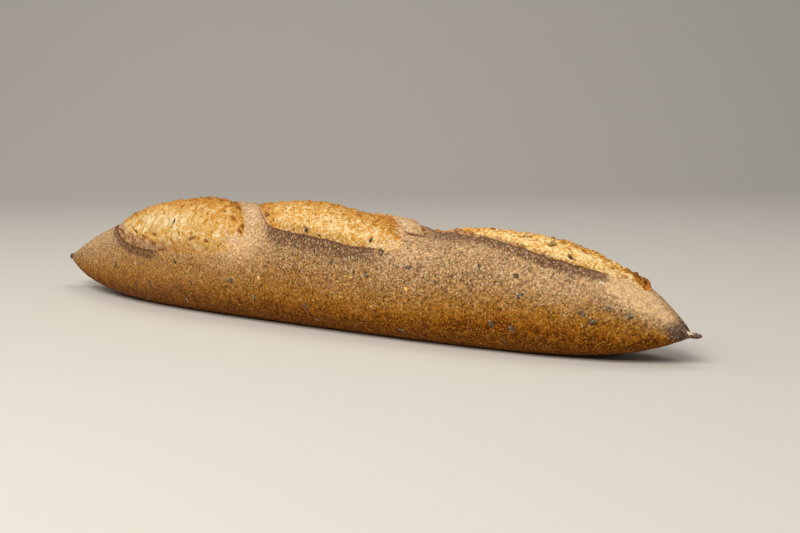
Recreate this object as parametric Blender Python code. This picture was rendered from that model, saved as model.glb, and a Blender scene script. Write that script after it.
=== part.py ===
"""A rustic baguette: one long loaf, pointed at both ends, with three opened slashes and linseeds in its crust.

Units are metres, +Z is up. The loaf lies along X and rests on the plane z = 0. Its front side faces -Y.
Places on the skin have two coordinates: a station along the loaf, and an angle round it, in degrees from
the crown, positive towards the front.
"""

from collections import namedtuple
from math import acos, atan2, copysign, cos, exp, hypot, pi, radians, sin
import random

import bmesh
import bpy
from mathutils import Matrix, Vector, noise

# Driving dimensions of the loaf.
LENGTH = 0.480
HALF_LENGTH = LENGTH / 2
HALF_WIDTH = 0.0348           # amidships
HEIGHT = 0.0670               # crown of the plain loaf, without what bulges from the slashes
CROWN_DROP = 0.0095           # the right third is this much lower
DROP_FROM, DROP_TO = -0.020, 0.090
WAIST_SHARE = 0.45            # the widest level, as a share of the height
BOW = -0.010                  # the middle lies this far to the front of the two tips
SLANT = 0.043                 # the slashes' ends run this much askew between the crown and the front
BASE_DIP = 0.0018             # pressed flat by this much where the loaf rested while baking
BASE_FROM, BASE_TO = 115, 150 # degrees from the crown over which the unevenness fades towards the flat base

# Where the crown sags beside the crust between two slashes.
Sag = namedtuple("Sag", "place reach depth")
SAGS = (Sag(place=-0.036, reach=0.021, depth=0.0022), Sag(place=0.088, reach=0.011, depth=0.0024))

# How each end narrows: (1 - u ** power) ** roundness, with u the share of the way from the middle to the tip.
# Slimming is the share that the width loses between the middle and that end. A baked nub stands out of the tip.
End = namedtuple("End", "tip_height power roundness crown_power keel_power slimming nub_radius nub_length")
LEFT_END = End(tip_height=0.0195, power=3.0, roundness=0.85, crown_power=2.6, keel_power=5.5,
               slimming=0.00, nub_radius=0.0018, nub_length=0.0018)
RIGHT_END = End(tip_height=0.0145, power=6.0, roundness=0.80, crown_power=6.0, keel_power=8.0,
                slimming=0.13, nub_radius=0.0013, nub_length=0.0052)
NUB_ROUNDING = 0.6            # share of a nub's length over which its end is rounded
POINT_RADIUS = 0.0002         # what is left of it at the very point

# A slash, opened in the oven: stations of its two ends, the angle of its middle line at each end, how many
# degrees it reaches to the front lip and to the back edge, how square its outline is in its left and its right
# half, how far the lip stands up and between which shares of the length (-1 to 1), how far the crumb swells
# out, how deep it starts below the lip, how high the crust stands at its left and right ends, and how far this
# raised crust runs on past the right end before it breaks off in a step.
Slash = namedtuple("Slash", "start end axis_start axis_end front back square_left square_right "
                            "ear ear_from ear_to swell wall rim_left rim_right shelf")
SLASHES = (
    Slash(start=-0.182, end=-0.062, axis_start=17, axis_end=18, front=61, back=36,
          square_left=2.8, square_right=4.0,
          ear=0.0016, ear_from=-1.1, ear_to=0.75, swell=0.0044, wall=0.0024,
          rim_left=0.0005, rim_right=0.0006, shelf=0.0),
    Slash(start=-0.0462, end=0.061, axis_start=2, axis_end=3, front=51, back=34,
          square_left=5.0, square_right=2.8,
          ear=0.0034, ear_from=-1.0, ear_to=0.45, swell=0.0018, wall=0.0030,
          rim_left=0.0004, rim_right=0.0030, shelf=0.0160),
    Slash(start=0.086, end=0.2138, axis_start=-19, axis_end=-6, front=49, back=34,
          square_left=1.8, square_right=1.6,
          ear=0.0034, ear_from=-0.8, ear_to=0.50, swell=0.0026, wall=0.0030,
          rim_left=0.0003, rim_right=0.0008, shelf=0.0),
)
EAR_REACH = 0.008             # how far the crust lifts away beside a lip
RIM_REACH = 0.011             # the same at a slash's ends and along its back edge
EAR_LEAN = 2.6                # degrees that a full ear leans over the crumb
CRUMB_RISE = 0.010            # how far in from the edge the crumb has come up
END_WALL = 0.0013             # depth of the crumb at the crust bridges and along the back edge
LUMP = 0.0007                 # the hand-shaped unevenness of the crust
TEAR = 0.0012                 # the roughness of the torn crumb
SHELF_FRONT = (4, 18)         # degrees from the crown over which the raised crust runs out to the front
SHELF_BACK = (34, 50)         # the same to the back

# The torn ridge that stands up at the right end of the last slash and breaks off there.
CRAG = 0.0036
CRAG_START, CRAG_END = 0.199, 0.2128
CRAG_ANGLE, CRAG_DEGREES = -21, 19

# Mesh rings along the loaf and lanes round it. A ring lies on each slash's ends, a lane on each lip.
TIP_RINGS = 10
SLASH_RING_STEP = 0.0045
BRIDGE_RINGS = 4
STEP_WIDTH = 0.0014           # ground plan of the steps at a slash's ends and at a shelf's
FOOT_DEGREES = 2.2            # ground plan of the step below the lip
INNER_LANES = (0.88, 0.72, 0.50, 0.26, 0.0, -0.28, -0.56, -0.80)
OUTER_LANES = (0.035, 0.10, 0.19, 0.31, 0.44, 0.58, 0.73, 0.90)
LIP_LANE = len(OUTER_LANES) + 1
LIP_CLEAR = 0.05              # degrees by which a lip's lane lies outside the slash's outline
LEAST_REACH = 0.45            # the lanes' least spread, as a share of the slash's width

# Linseeds, pressed into the crust before baking.
SEED_LENGTH, SEED_WIDTH, SEED_THICKNESS = 0.0052, 0.0027, 0.0016
SEED_COUNT = 84
SEED_SPACING = 0.011
SEED_CLEAR = 0.009            # least way from a seed's middle to a slash's outline
SEED_SINK = 0.0002            # the seed's middle lies this far below the crust
SEED_STATIONS, SEED_ANGLES = 0.225, 125
SEED_DRAW = 7

CRUST_COLOUR = (0.37, 0.17, 0.055)
CRUST_ROUGHNESS = 0.62


def clamp(value, low=0.0, high=1.0):
    return max(low, min(high, value))


def smooth_step(edge_low, edge_high, value):
    """0 below one edge, 1 above the other, and an S-curve between them."""
    share = clamp((value - edge_low) / (edge_high - edge_low))
    return share * share * (3 - 2 * share)


def mix(first, second, share):
    return first + (second - first) * share


# --- the plain loaf ---------------------------------------------------------------------------------------

def end_of(x):
    return LEFT_END if x < 0 else RIGHT_END


def nub_radius(x):
    """A short rounded peg that stands out of each tip."""
    end, to_tip = end_of(x), HALF_LENGTH - abs(x)
    return max(end.nub_radius * clamp(to_tip / (NUB_ROUNDING * end.nub_length)) ** 0.5, POINT_RADIUS)


def body_share(x):
    """The share of the way from the middle to where the loaf meets its nub."""
    return clamp(abs(x) / (HALF_LENGTH - end_of(x).nub_length))


def half_width(x):
    end, share = end_of(x), body_share(x)
    body = HALF_WIDTH * (1 - end.slimming * share) * (1 - share ** end.power) ** end.roundness
    return hypot(body, nub_radius(x))


def crown_height(x):
    end, tip = end_of(x), end_of(x).tip_height
    sagging = sum(sag.depth * exp(-((x - sag.place) / sag.reach) ** 2) for sag in SAGS)
    full = HEIGHT - CROWN_DROP * smooth_step(DROP_FROM, DROP_TO, x) - sagging
    return tip + hypot((full - tip) * (1 - body_share(x) ** end.crown_power), nub_radius(x))


def keel_height(x):
    end, tip = end_of(x), end_of(x).tip_height
    body = 1 - body_share(x) ** end.keel_power
    return tip - hypot(tip * body, nub_radius(x)) - BASE_DIP * body


def centre_line(x):
    return BOW * (1 - (x / HALF_LENGTH) ** 2)


def slant(station):
    """How far the rings run askew: fully amidships, not at all at the tips."""
    return SLANT * (1 - (station / HALF_LENGTH) ** 4)


def power_of(value, exponent):
    return copysign(abs(value) ** exponent, value)


def skin_frame(station, angle):
    """A point of the plain loaf and the direction straight out of it."""
    turn = radians(angle)
    x = station + slant(station) * sin(turn)
    x = clamp(x, -HALF_LENGTH, HALF_LENGTH)
    crown, keel, width = crown_height(x), keel_height(x), half_width(x)
    waist = mix(keel, crown, WAIST_SHARE)
    across, up = -sin(turn), cos(turn)
    rise = crown - waist if up > 0 else waist - keel
    fullness = 1.0 if up > 0 else 2 / 2.6
    y = centre_line(x) + width * power_of(across, fullness)
    z = waist + rise * power_of(up, fullness)
    outward = Vector((0, across / width, up / rise)).normalized()
    return Vector((x, y, z)), outward


# --- slashes ----------------------------------------------------------------------------------------------

def slash_share(slash, station):
    """-1 at the slash's left end, 1 at its right end."""
    middle = (slash.start + slash.end) / 2
    return (station - middle) / (slash.end - middle)


def slash_axis(slash, station):
    return mix(slash.axis_start, slash.axis_end, (slash_share(slash, station) + 1) / 2)


def nearest_slash(station):
    return min(SLASHES, key=lambda slash: max(slash.start - station, station - slash.end))


def squareness(slash, along):
    return slash.square_left if along < 0 else slash.square_right


def outline_reach(slash, along):
    """Half the opening's width at a share of its length, 1 in the middle."""
    power = squareness(slash, along)
    return (1 - clamp(abs(along)) ** power) ** (1 / power)


def slash_level(slash, station, angle):
    """0 on the slash's middle, 1 on its outline, more outside."""
    along = slash_share(slash, station)
    across = angle - slash_axis(slash, station)
    across /= slash.front if across > 0 else slash.back
    power = squareness(slash, along)
    return (abs(along) ** power + abs(across) ** power) ** (1 / power)


def ear_share(slash, station):
    """How far the lip is raised along the slash, from 0 to 1."""
    along = slash_share(slash, station)
    return (smooth_step(slash.ear_from, slash.ear_from + 0.25, along)
            * (1 - smooth_step(slash.ear_to, slash.ear_to + 0.4, along)))


def way_to_outline(slash, station, angle):
    """Distance across the skin from a slash's outline, negative inside, and how much of it is endways."""
    level = slash_level(slash, station, angle)
    along = slash_share(slash, station) / max(level, 1e-6)
    endways = abs(along) ** squareness(slash, along)
    sideways_reach = radians(slash.front if in_front(slash, station, angle) else slash.back) * HALF_WIDTH
    return (level - 1) * mix(sideways_reach, (slash.end - slash.start) / 2, endways), endways


def in_front(slash, station, angle):
    return angle > slash_axis(slash, station)


def rim_height(slash, station):
    along = slash_share(slash, station)
    return mix(slash.rim_left, slash.rim_right, smooth_step(-0.2, 1.0, along))


def ear_height(slash, station, angle, endways):
    if not in_front(slash, station, angle):
        return 0.0
    return slash.ear * ear_share(slash, station) * (1 - endways)


def shelf_height(slash, station, angle):
    """The raised crust past a slash's right end, full height up to the step where it breaks off."""
    beyond = station - slash.end
    reached = smooth_step(-SLASH_RING_STEP, 0, beyond)
    lasting = 1 - smooth_step(slash.shelf - STEP_WIDTH, slash.shelf, beyond)
    across = (1 - smooth_step(*SHELF_FRONT, angle)) * (1 - smooth_step(*SHELF_BACK, -angle))
    return slash.rim_right * reached * lasting * across


def crust_lift(slash, station, angle):
    """How far the oven raised the crust beside a slash: most at the front lip, less round the rest."""
    away, endways = way_to_outline(slash, station, angle)
    shelf = shelf_height(slash, station, angle) if slash.shelf else 0.0
    return max(rim_height(slash, station) * exp(-away / RIM_REACH),
               ear_height(slash, station, angle, endways) * exp(-away / EAR_REACH), shelf)


def crumb_height(slash, station, angle):
    """The torn crumb: it starts below the crust at the outline and swells out of the opening."""
    away, endways = way_to_outline(slash, station, angle)
    level = slash_level(slash, station, angle)
    ear = ear_height(slash, station, angle, endways) / slash.ear
    edge = rim_height(slash, station) * (1 - ear) - mix(END_WALL, slash.wall, ear)
    risen = smooth_step(0, CRUMB_RISE, -away)
    torn = TEAR * noise.noise(Vector((station * 210, angle * 0.11, 4))) * risen
    return torn + crag_height(station, angle) + mix(edge, slash.swell * (1 - level ** 2), risen)


def crag_height(station, angle):
    """A ridge of torn crumb that climbs to the right and is steep on its front side."""
    climb = clamp((station - CRAG_START) / (CRAG_END - CRAG_START))
    return CRAG * climb * (1 - smooth_step(0.55, 1, abs(angle - CRAG_ANGLE) / CRAG_DEGREES))


def relief(station, angle):
    """Height of the real skin over the plain loaf."""
    lump = LUMP * noise.noise(Vector((station * 40, angle * 0.030, 0)))
    lump *= smooth_step(0, 0.05, HALF_LENGTH - abs(station)) * (1 - smooth_step(BASE_FROM, BASE_TO, abs(angle)))
    slash = nearest_slash(station)
    if slash_level(slash, station, angle) < 1:
        return lump + crumb_height(slash, station, angle)
    return lump + max(crust_lift(other, station, angle) for other in SLASHES)


def loaf_point(station, angle, lean=0.0):
    point, outward = skin_frame(station, angle - lean)
    point += outward * relief(station, angle)
    point.z = max(point.z, 0.0)
    return point


# --- the mesh of the loaf ---------------------------------------------------------------------------------

def spread(first, last, count):
    """Evenly spaced values from the first up to, and without, the last."""
    return [mix(first, last, step / count) for step in range(count)]


def tip_stations(tip, inner, count):
    """Stations from a tip inwards, closer together towards the tip."""
    return [mix(tip, inner, (step / count) ** 1.5) for step in range(count)]


def ring_stations():
    stations = tip_stations(-HALF_LENGTH, SLASHES[0].start, TIP_RINGS)
    for place, slash in enumerate(SLASHES):
        inner_start, inner_end = slash.start + STEP_WIDTH, slash.end - STEP_WIDTH
        count = round((inner_end - inner_start) / SLASH_RING_STEP)
        stations += [slash.start] + spread(inner_start, inner_end, count) + [inner_end, slash.end]
        if place + 1 < len(SLASHES):
            stations += bridge_stations(slash, SLASHES[place + 1].start)
    return stations + tip_stations(HALF_LENGTH, SLASHES[-1].end, TIP_RINGS)[::-1]


def bridge_stations(slash, following_start):
    """Stations on the crust between two slashes, with rings on the step at a shelf's end."""
    if not slash.shelf:
        return spread(slash.end, following_start, BRIDGE_RINGS)[1:]
    shelf_end = slash.end + slash.shelf
    return (spread(slash.end, shelf_end - STEP_WIDTH, BRIDGE_RINGS)[1:]
            + [shelf_end - STEP_WIDTH] + spread(shelf_end, following_start, BRIDGE_RINGS // 2))


def slash_guide(slash, station):
    """Angles of the lip, the middle line and the back edge; at the ends the lanes stay some way apart."""
    reach = max(outline_reach(slash, slash_share(slash, station)), LEAST_REACH)
    axis = slash_axis(slash, station)
    return axis + slash.front * reach, axis, axis - slash.back * reach


def lane_guide(station):
    """The same three angles at any station, blended from slash to slash across the crust between them."""
    before = [slash for slash in SLASHES if slash.start <= station] or [SLASHES[0]]
    after = [slash for slash in SLASHES if slash.end >= station] or [SLASHES[-1]]
    left, right = before[-1], after[0]
    if left is right:
        return slash_guide(left, clamp(station, left.start, left.end))
    share = smooth_step(left.end, right.start, station)
    return [mix(first, second, share) for first, second
            in zip(slash_guide(left, left.end), slash_guide(right, right.start))]


def lane_angles(station):
    """Angles of the mesh lanes, from the underside up the front, over the crown and down the back."""
    lip, axis, edge = lane_guide(station)
    front = [mix(lip + LIP_CLEAR, 180, share) for share in OUTER_LANES]
    back = [mix(edge - LIP_CLEAR, -180, share) for share in OUTER_LANES]
    inner = [axis + share * ((lip - axis) if share > 0 else (axis - edge)) for share in INNER_LANES]
    return ([180] + front[::-1] + [lip + LIP_CLEAR, lip - FOOT_DEGREES] + inner
            + [edge + FOOT_DEGREES, edge - LIP_CLEAR] + back)


def make_loaf_mesh():
    stations = ring_stations()
    lanes = {station: lane_angles(station) for station in stations}
    rings, lane_count = len(stations) - 1, len(lanes[stations[0]])
    mesh = bmesh.new()
    bmesh.ops.create_uvsphere(mesh, u_segments=lane_count, v_segments=rings, radius=1)
    for vertex in mesh.verts:
        x, y, z = vertex.co
        station = stations[round(acos(clamp(-z, -1, 1)) / pi * rings)]
        lane = round(atan2(y, x) / (2 * pi) * lane_count) % lane_count
        angle = lanes[station][lane]
        slash = nearest_slash(station)
        on_lip = lane == LIP_LANE
        lean = EAR_LEAN * ear_share(slash, station) if on_lip else 0.0
        vertex.co = loaf_point(station, angle, lean)
    bmesh.ops.recalc_face_normals(mesh, faces=mesh.faces)
    data = bpy.data.meshes.new("baguette")
    mesh.to_mesh(data)
    mesh.free()
    return data


# --- linseeds ---------------------------------------------------------------------------------------------

def seed_places():
    """Places spread evenly over the crust, by drawing at random and keeping what has room."""
    draw = random.Random(SEED_DRAW)
    kept = []
    while len(kept) < SEED_COUNT:
        station = draw.uniform(-SEED_STATIONS, SEED_STATIONS)
        angle = draw.uniform(-SEED_ANGLES, SEED_ANGLES)
        turn = draw.uniform(0, pi)
        away, _ = way_to_outline(nearest_slash(station), station, angle)
        if abs(away) < SEED_CLEAR:
            continue
        point, outward = skin_frame(station, angle)
        if all((point - other).length > SEED_SPACING for other, _, _ in kept):
            kept.append((point + outward * (relief(station, angle) - SEED_SINK), outward, turn))
    return kept


def make_seed(name, place, outward, turn, collection):
    """A flat, pointed oval with about thirty triangles."""
    mesh = bmesh.new()
    bmesh.ops.create_uvsphere(mesh, u_segments=5, v_segments=4, radius=0.5)
    mesh.transform(Matrix.Rotation(pi / 2, 4, "Y"))
    mesh.transform(Matrix.Diagonal((SEED_LENGTH, SEED_WIDTH, SEED_THICKNESS, 1)))
    lay = outward.to_track_quat("Z", "Y").to_matrix().to_4x4()
    mesh.transform(Matrix.Translation(place) @ lay @ Matrix.Rotation(turn, 4, "Z"))
    data = bpy.data.meshes.new(name)
    mesh.to_mesh(data)
    mesh.free()
    seed = bpy.data.objects.new(name, data)
    collection.objects.link(seed)
    return seed


def fuse(loaf, collection):
    """Join all of a collection's pieces to the loaf, and remove them."""
    union = loaf.modifiers.new("seeds", "BOOLEAN")
    union.operation = "UNION"
    union.operand_type = "COLLECTION"
    union.collection = collection
    union.solver = "MANIFOLD"
    bpy.context.view_layer.update()
    seen = loaf.evaluated_get(bpy.context.evaluated_depsgraph_get())
    joined = bpy.data.meshes.new_from_object(seen)
    loaf.modifiers.remove(union)
    loaf.data = joined
    for piece in list(collection.objects):
        bpy.data.objects.remove(piece, do_unlink=True)
    bpy.data.collections.remove(collection)


# --- put together -----------------------------------------------------------------------------------------

def crust_material():
    material = bpy.data.materials.new("baked_crust")
    material.use_nodes = True
    shader = material.node_tree.nodes["Principled BSDF"]
    shader.inputs["Base Color"].default_value = (*CRUST_COLOUR, 1)
    shader.inputs["Roughness"].default_value = CRUST_ROUGHNESS
    shader.inputs["Metallic"].default_value = 0.0
    return material


def centre(loaf):
    """Slide the loaf so that the middle of its box lies over the origin, and its base on z = 0."""
    corners = [loaf.matrix_world @ Vector(corner) for corner in loaf.bound_box]
    low = Vector(min(corner[axis] for corner in corners) for axis in range(3))
    high = Vector(max(corner[axis] for corner in corners) for axis in range(3))
    loaf.data.transform(Matrix.Translation((-(low.x + high.x) / 2, -(low.y + high.y) / 2, -low.z)))


def main():
    for old in list(bpy.data.objects):
        bpy.data.objects.remove(old, do_unlink=True)
    parts = bpy.data.collections.new("baguette")
    seeds = bpy.data.collections.new("linseeds")
    bpy.context.scene.collection.children.link(parts)
    bpy.context.scene.collection.children.link(seeds)

    loaf = bpy.data.objects.new("baguette", make_loaf_mesh())
    parts.objects.link(loaf)
    for count, (place, outward, turn) in enumerate(seed_places()):
        make_seed(f"linseed_{count}", place, outward, turn, seeds)
    fuse(loaf, seeds)
    centre(loaf)
    loaf.data.materials.clear()
    loaf.data.materials.append(crust_material())
    loaf.data.shade_smooth()
    loaf.data.set_sharp_from_angle(angle=radians(50))


main()
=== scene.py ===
"""Looks of a rustic baguette: its crust, the crumb torn open in three slashes, its seeds, and a pale studio.

Units are metres, +Z is up. The loaf lies along X and its front faces -Y. A place on its skin has two
coordinates: a station along the loaf, and an angle round it, in degrees from the crown, positive towards the
front. Every piece of the loaf is worked out from those two, so crust, crumb and seeds meet.
"""

from __future__ import annotations

import logging
import random
from dataclasses import dataclass
from enum import Enum
from math import acos, atan2, copysign, cos, exp, hypot, pi, radians, sin
from typing import Iterable, NamedTuple, Sequence

import bmesh
import bpy
from mathutils import Matrix, Vector, noise


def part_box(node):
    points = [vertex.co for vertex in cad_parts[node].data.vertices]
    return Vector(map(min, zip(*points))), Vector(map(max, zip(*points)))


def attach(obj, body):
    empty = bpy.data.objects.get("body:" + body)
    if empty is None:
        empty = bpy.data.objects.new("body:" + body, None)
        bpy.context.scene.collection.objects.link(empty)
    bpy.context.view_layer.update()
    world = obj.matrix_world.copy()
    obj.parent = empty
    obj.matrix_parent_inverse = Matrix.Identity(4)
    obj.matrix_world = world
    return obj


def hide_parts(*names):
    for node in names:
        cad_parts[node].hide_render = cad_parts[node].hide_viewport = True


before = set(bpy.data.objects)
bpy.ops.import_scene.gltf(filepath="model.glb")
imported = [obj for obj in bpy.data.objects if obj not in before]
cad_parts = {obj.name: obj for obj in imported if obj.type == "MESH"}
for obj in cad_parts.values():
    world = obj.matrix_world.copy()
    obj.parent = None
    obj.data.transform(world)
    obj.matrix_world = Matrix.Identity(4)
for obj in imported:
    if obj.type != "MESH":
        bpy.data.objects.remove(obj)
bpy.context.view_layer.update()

LOG = logging.getLogger("baguette")
NODE = "baguette"
BODY = "root"
MILLIMETRE = 0.001
DEGREE_LENGTH = 0.0006      # about how long a degree round the loaf is on its skin
RAGGED_DEGREE = 0.0004      # the same, shortened where an edge tore more lengthways than round the loaf
LAYER_GAP = 17.3            # how far apart two noises are read that are to have nothing in common

# Sockets of Blender's Mix node when it mixes colours.
MIX_FACTOR, MIX_A, MIX_B, MIX_RESULT = 0, 6, 7, 2
Socket = bpy.types.NodeSocket
Paint = str | Socket      # an sRGB hex code, or a node's output


class Slot(Enum):
    """The record's material slots."""

    CRUST = "crust"
    CRUMB = "crumb"
    SEEDS = "seeds"


class Share(Enum):
    """Shares from 0 to 1 that a mesh keeps at each of its points, for the finishes to read."""

    CROWN = "crown"        # 0 on the low sides, 1 on top
    SCORCH = "scorch"      # browned to black beside the lips
    PALE = "pale"          # where the dough stretched late and stayed pale
    BURN = "burn"          # burnt at the tips
    UNDER = "under"        # baked on the tray
    FLOUR = "flour"
    RIDGE = "ridge"        # 0 in the hollows of the crumb, 1 on its ridges: painted shade in the one, painted highlight on the other
    GOLDEN = "golden"      # toasted crumb, and towards the back also painted shade
    BAND = "band"          # the skinned strip of crumb just inside a lip
    POCKET = "pocket"      # inside a hole of the crumb or a crease of the crust, painted dark as shade
    EDGE = "edge"          # the broken edge of the crust, where its orange inside shows
    LIP = "lip"            # the thin dark line along a lip, burnt and partly painted shade


CRUST_SHARES = (Share.CROWN, Share.SCORCH, Share.PALE, Share.BURN, Share.UNDER, Share.FLOUR, Share.EDGE,
                Share.LIP, Share.POCKET)
CRUMB_SHARES = (Share.RIDGE, Share.GOLDEN, Share.BAND, Share.POCKET, Share.FLOUR)


# --- small sums -------------------------------------------------------------------------------------------

def clamp(value: float, low: float = 0.0, high: float = 1.0) -> float:
    """Return the value, kept between two limits."""
    return max(low, min(high, value))


def smooth_step(edge_low: float, edge_high: float, value: float) -> float:
    """Return 0 below one edge, 1 above the other, and an S-curve between them."""
    share = clamp((value - edge_low) / (edge_high - edge_low))
    return share * share * (3 - 2 * share)


def mix(first: float, second: float, share: float) -> float:
    """Return the value that lies a share of the way from the first to the second."""
    return first + (second - first) * share


def window(value: float, start: float, fade_in: float, end: float, fade_out: float) -> float:
    """Return 1 between a start and an end, fading in after the one and out after the other."""
    return smooth_step(start, start + fade_in, value) * (1 - smooth_step(end, end + fade_out, value))


def power_of(value: float, exponent: float) -> float:
    """Return a power of the value's size, with the value's sign."""
    return copysign(abs(value) ** exponent, value)


def ripple(place: Vector, size: float, layer: float = 0.0) -> float:
    """Return smooth noise between about -1 and 1.

    Args:
        place: Where, in metres.
        size: How far apart its bumps lie, in metres.
        layer: Tells one noise from another of the same size.

    Returns:
        The noise there.
    """
    return noise.noise(place / size + Vector((0, 0, layer * LAYER_GAP)))


def ragged_place(station: float, angle: float) -> Vector:
    """Return where on a flat plan the noise of a ragged edge is read."""
    return Vector((station, angle * RAGGED_DEGREE, 0))


def spread(first: float, last: float, count: int) -> list[float]:
    """Return evenly spaced values from the first up to, and without, the last."""
    return [mix(first, last, step / count) for step in range(count)]


# --- the plain loaf ---------------------------------------------------------------------------------------

@dataclass(frozen=True)
class LoafEnd:
    """How the loaf narrows to one of its tips: (1 - share ** power) ** roundness."""

    tip_height: float
    power: float
    roundness: float
    crown_power: float
    keel_power: float
    slimming: float
    nub_radius: float
    nub_length: float


class Sag(NamedTuple):
    """Where the crown sags beside the crust between two slashes."""

    place: float
    reach: float
    depth: float


@dataclass(frozen=True)
class LoafForm:
    """The loaf's form without its slashes, as the solid has it."""

    length: float
    tip_y: float
    half_width: float = 0.0348
    height: float = 0.0670
    crown_drop: float = 0.0095
    drop_from: float = -0.020
    drop_to: float = 0.090
    waist_share: float = 0.45
    bow: float = -0.010
    slant: float = 0.043          # how much further right a place lies for being at the front
    slant_power: float = 4
    base_dip: float = 0.0018
    base_fullness: float = 2.6    # 2 for a round section, more for a flatter underside
    sags: tuple[Sag, ...] = (Sag(-0.036, 0.021, 0.0022), Sag(0.088, 0.011, 0.0024))
    nub_rounding: float = 0.4
    point_radius: float = 0.0002
    left: LoafEnd = LoafEnd(0.0195, 3.0, 0.85, 2.6, 5.5, 0.00, nub_radius=0.0018, nub_length=0.0018)
    right: LoafEnd = LoafEnd(0.0145, 6.0, 0.80, 6.0, 8.0, 0.13, nub_radius=0.0013, nub_length=0.0052)

    @property
    def half_length(self) -> float:
        """Half the loaf's length."""
        return self.length / 2

    def end_of(self, x: float) -> LoafEnd:
        """Return the end that a place along the loaf belongs to."""
        return self.left if x < 0 else self.right

    def nub_at(self, x: float) -> float:
        """Return the radius of the short peg that stands out of each tip."""
        end, to_tip = self.end_of(x), self.half_length - abs(x)
        swelling = clamp(to_tip / (self.nub_rounding * end.nub_length)) ** 0.5
        return max(end.nub_radius * swelling, self.point_radius)

    def section(self, x: float) -> tuple[float, float, float]:
        """Return the crown's height, the keel's height and the half width at a place along the loaf."""
        end, nub = self.end_of(x), self.nub_at(x)
        share = clamp(abs(x) / (self.half_length - end.nub_length))
        side, keel = (1 - share ** end.power) ** end.roundness, 1 - share ** end.keel_power
        width = hypot(self.half_width * (1 - end.slimming * share) * side, nub)
        sagging = sum(sag.depth * exp(-((x - sag.place) / sag.reach) ** 2) for sag in self.sags)
        full = self.height - self.crown_drop * smooth_step(self.drop_from, self.drop_to, x) - sagging
        above = hypot((full - end.tip_height) * (1 - share ** end.crown_power), nub)
        below = hypot(end.tip_height * keel, nub) + self.base_dip * keel
        return end.tip_height + above, end.tip_height - below, width

    def skin(self, station: float, angle: float) -> tuple[Vector, Vector]:
        """Find a place on the skin.

        Args:
            station: How far along the loaf, from its middle.
            angle: Degrees from the crown, positive towards the front.

        Returns:
            The point, and the direction straight out of the loaf.
        """
        turn = radians(angle)
        askew = self.slant * (1 - (station / self.half_length) ** self.slant_power)
        x = clamp(station + askew * sin(turn), -self.half_length, self.half_length)
        crown, keel, width = self.section(x)
        waist = mix(keel, crown, self.waist_share)
        across, up = -sin(turn), cos(turn)
        rise = crown - waist if up > 0 else waist - keel
        fullness = 1.0 if up > 0 else 2 / self.base_fullness
        y = self.bow * (1 - (x / self.half_length) ** 2) + width * power_of(across, fullness)
        z = waist + rise * power_of(up, fullness)
        return Vector((x, y + self.tip_y, z)), Vector((0, across / width, up / rise)).normalized()


# --- slashes ----------------------------------------------------------------------------------------------

class Whereabouts(NamedTuple):
    """Where a place lies in terms of a slash."""

    along: float      # -1 at the left end, 1 at the right end
    across: float     # -1 at the back edge, 1 at the front lip
    level: float      # 0 on the middle, 1 on the outline
    away: float       # metres from the outline, negative inside
    endways: float    # 1 where the nearest stretch of outline is an end, 0 where it is a side


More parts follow.
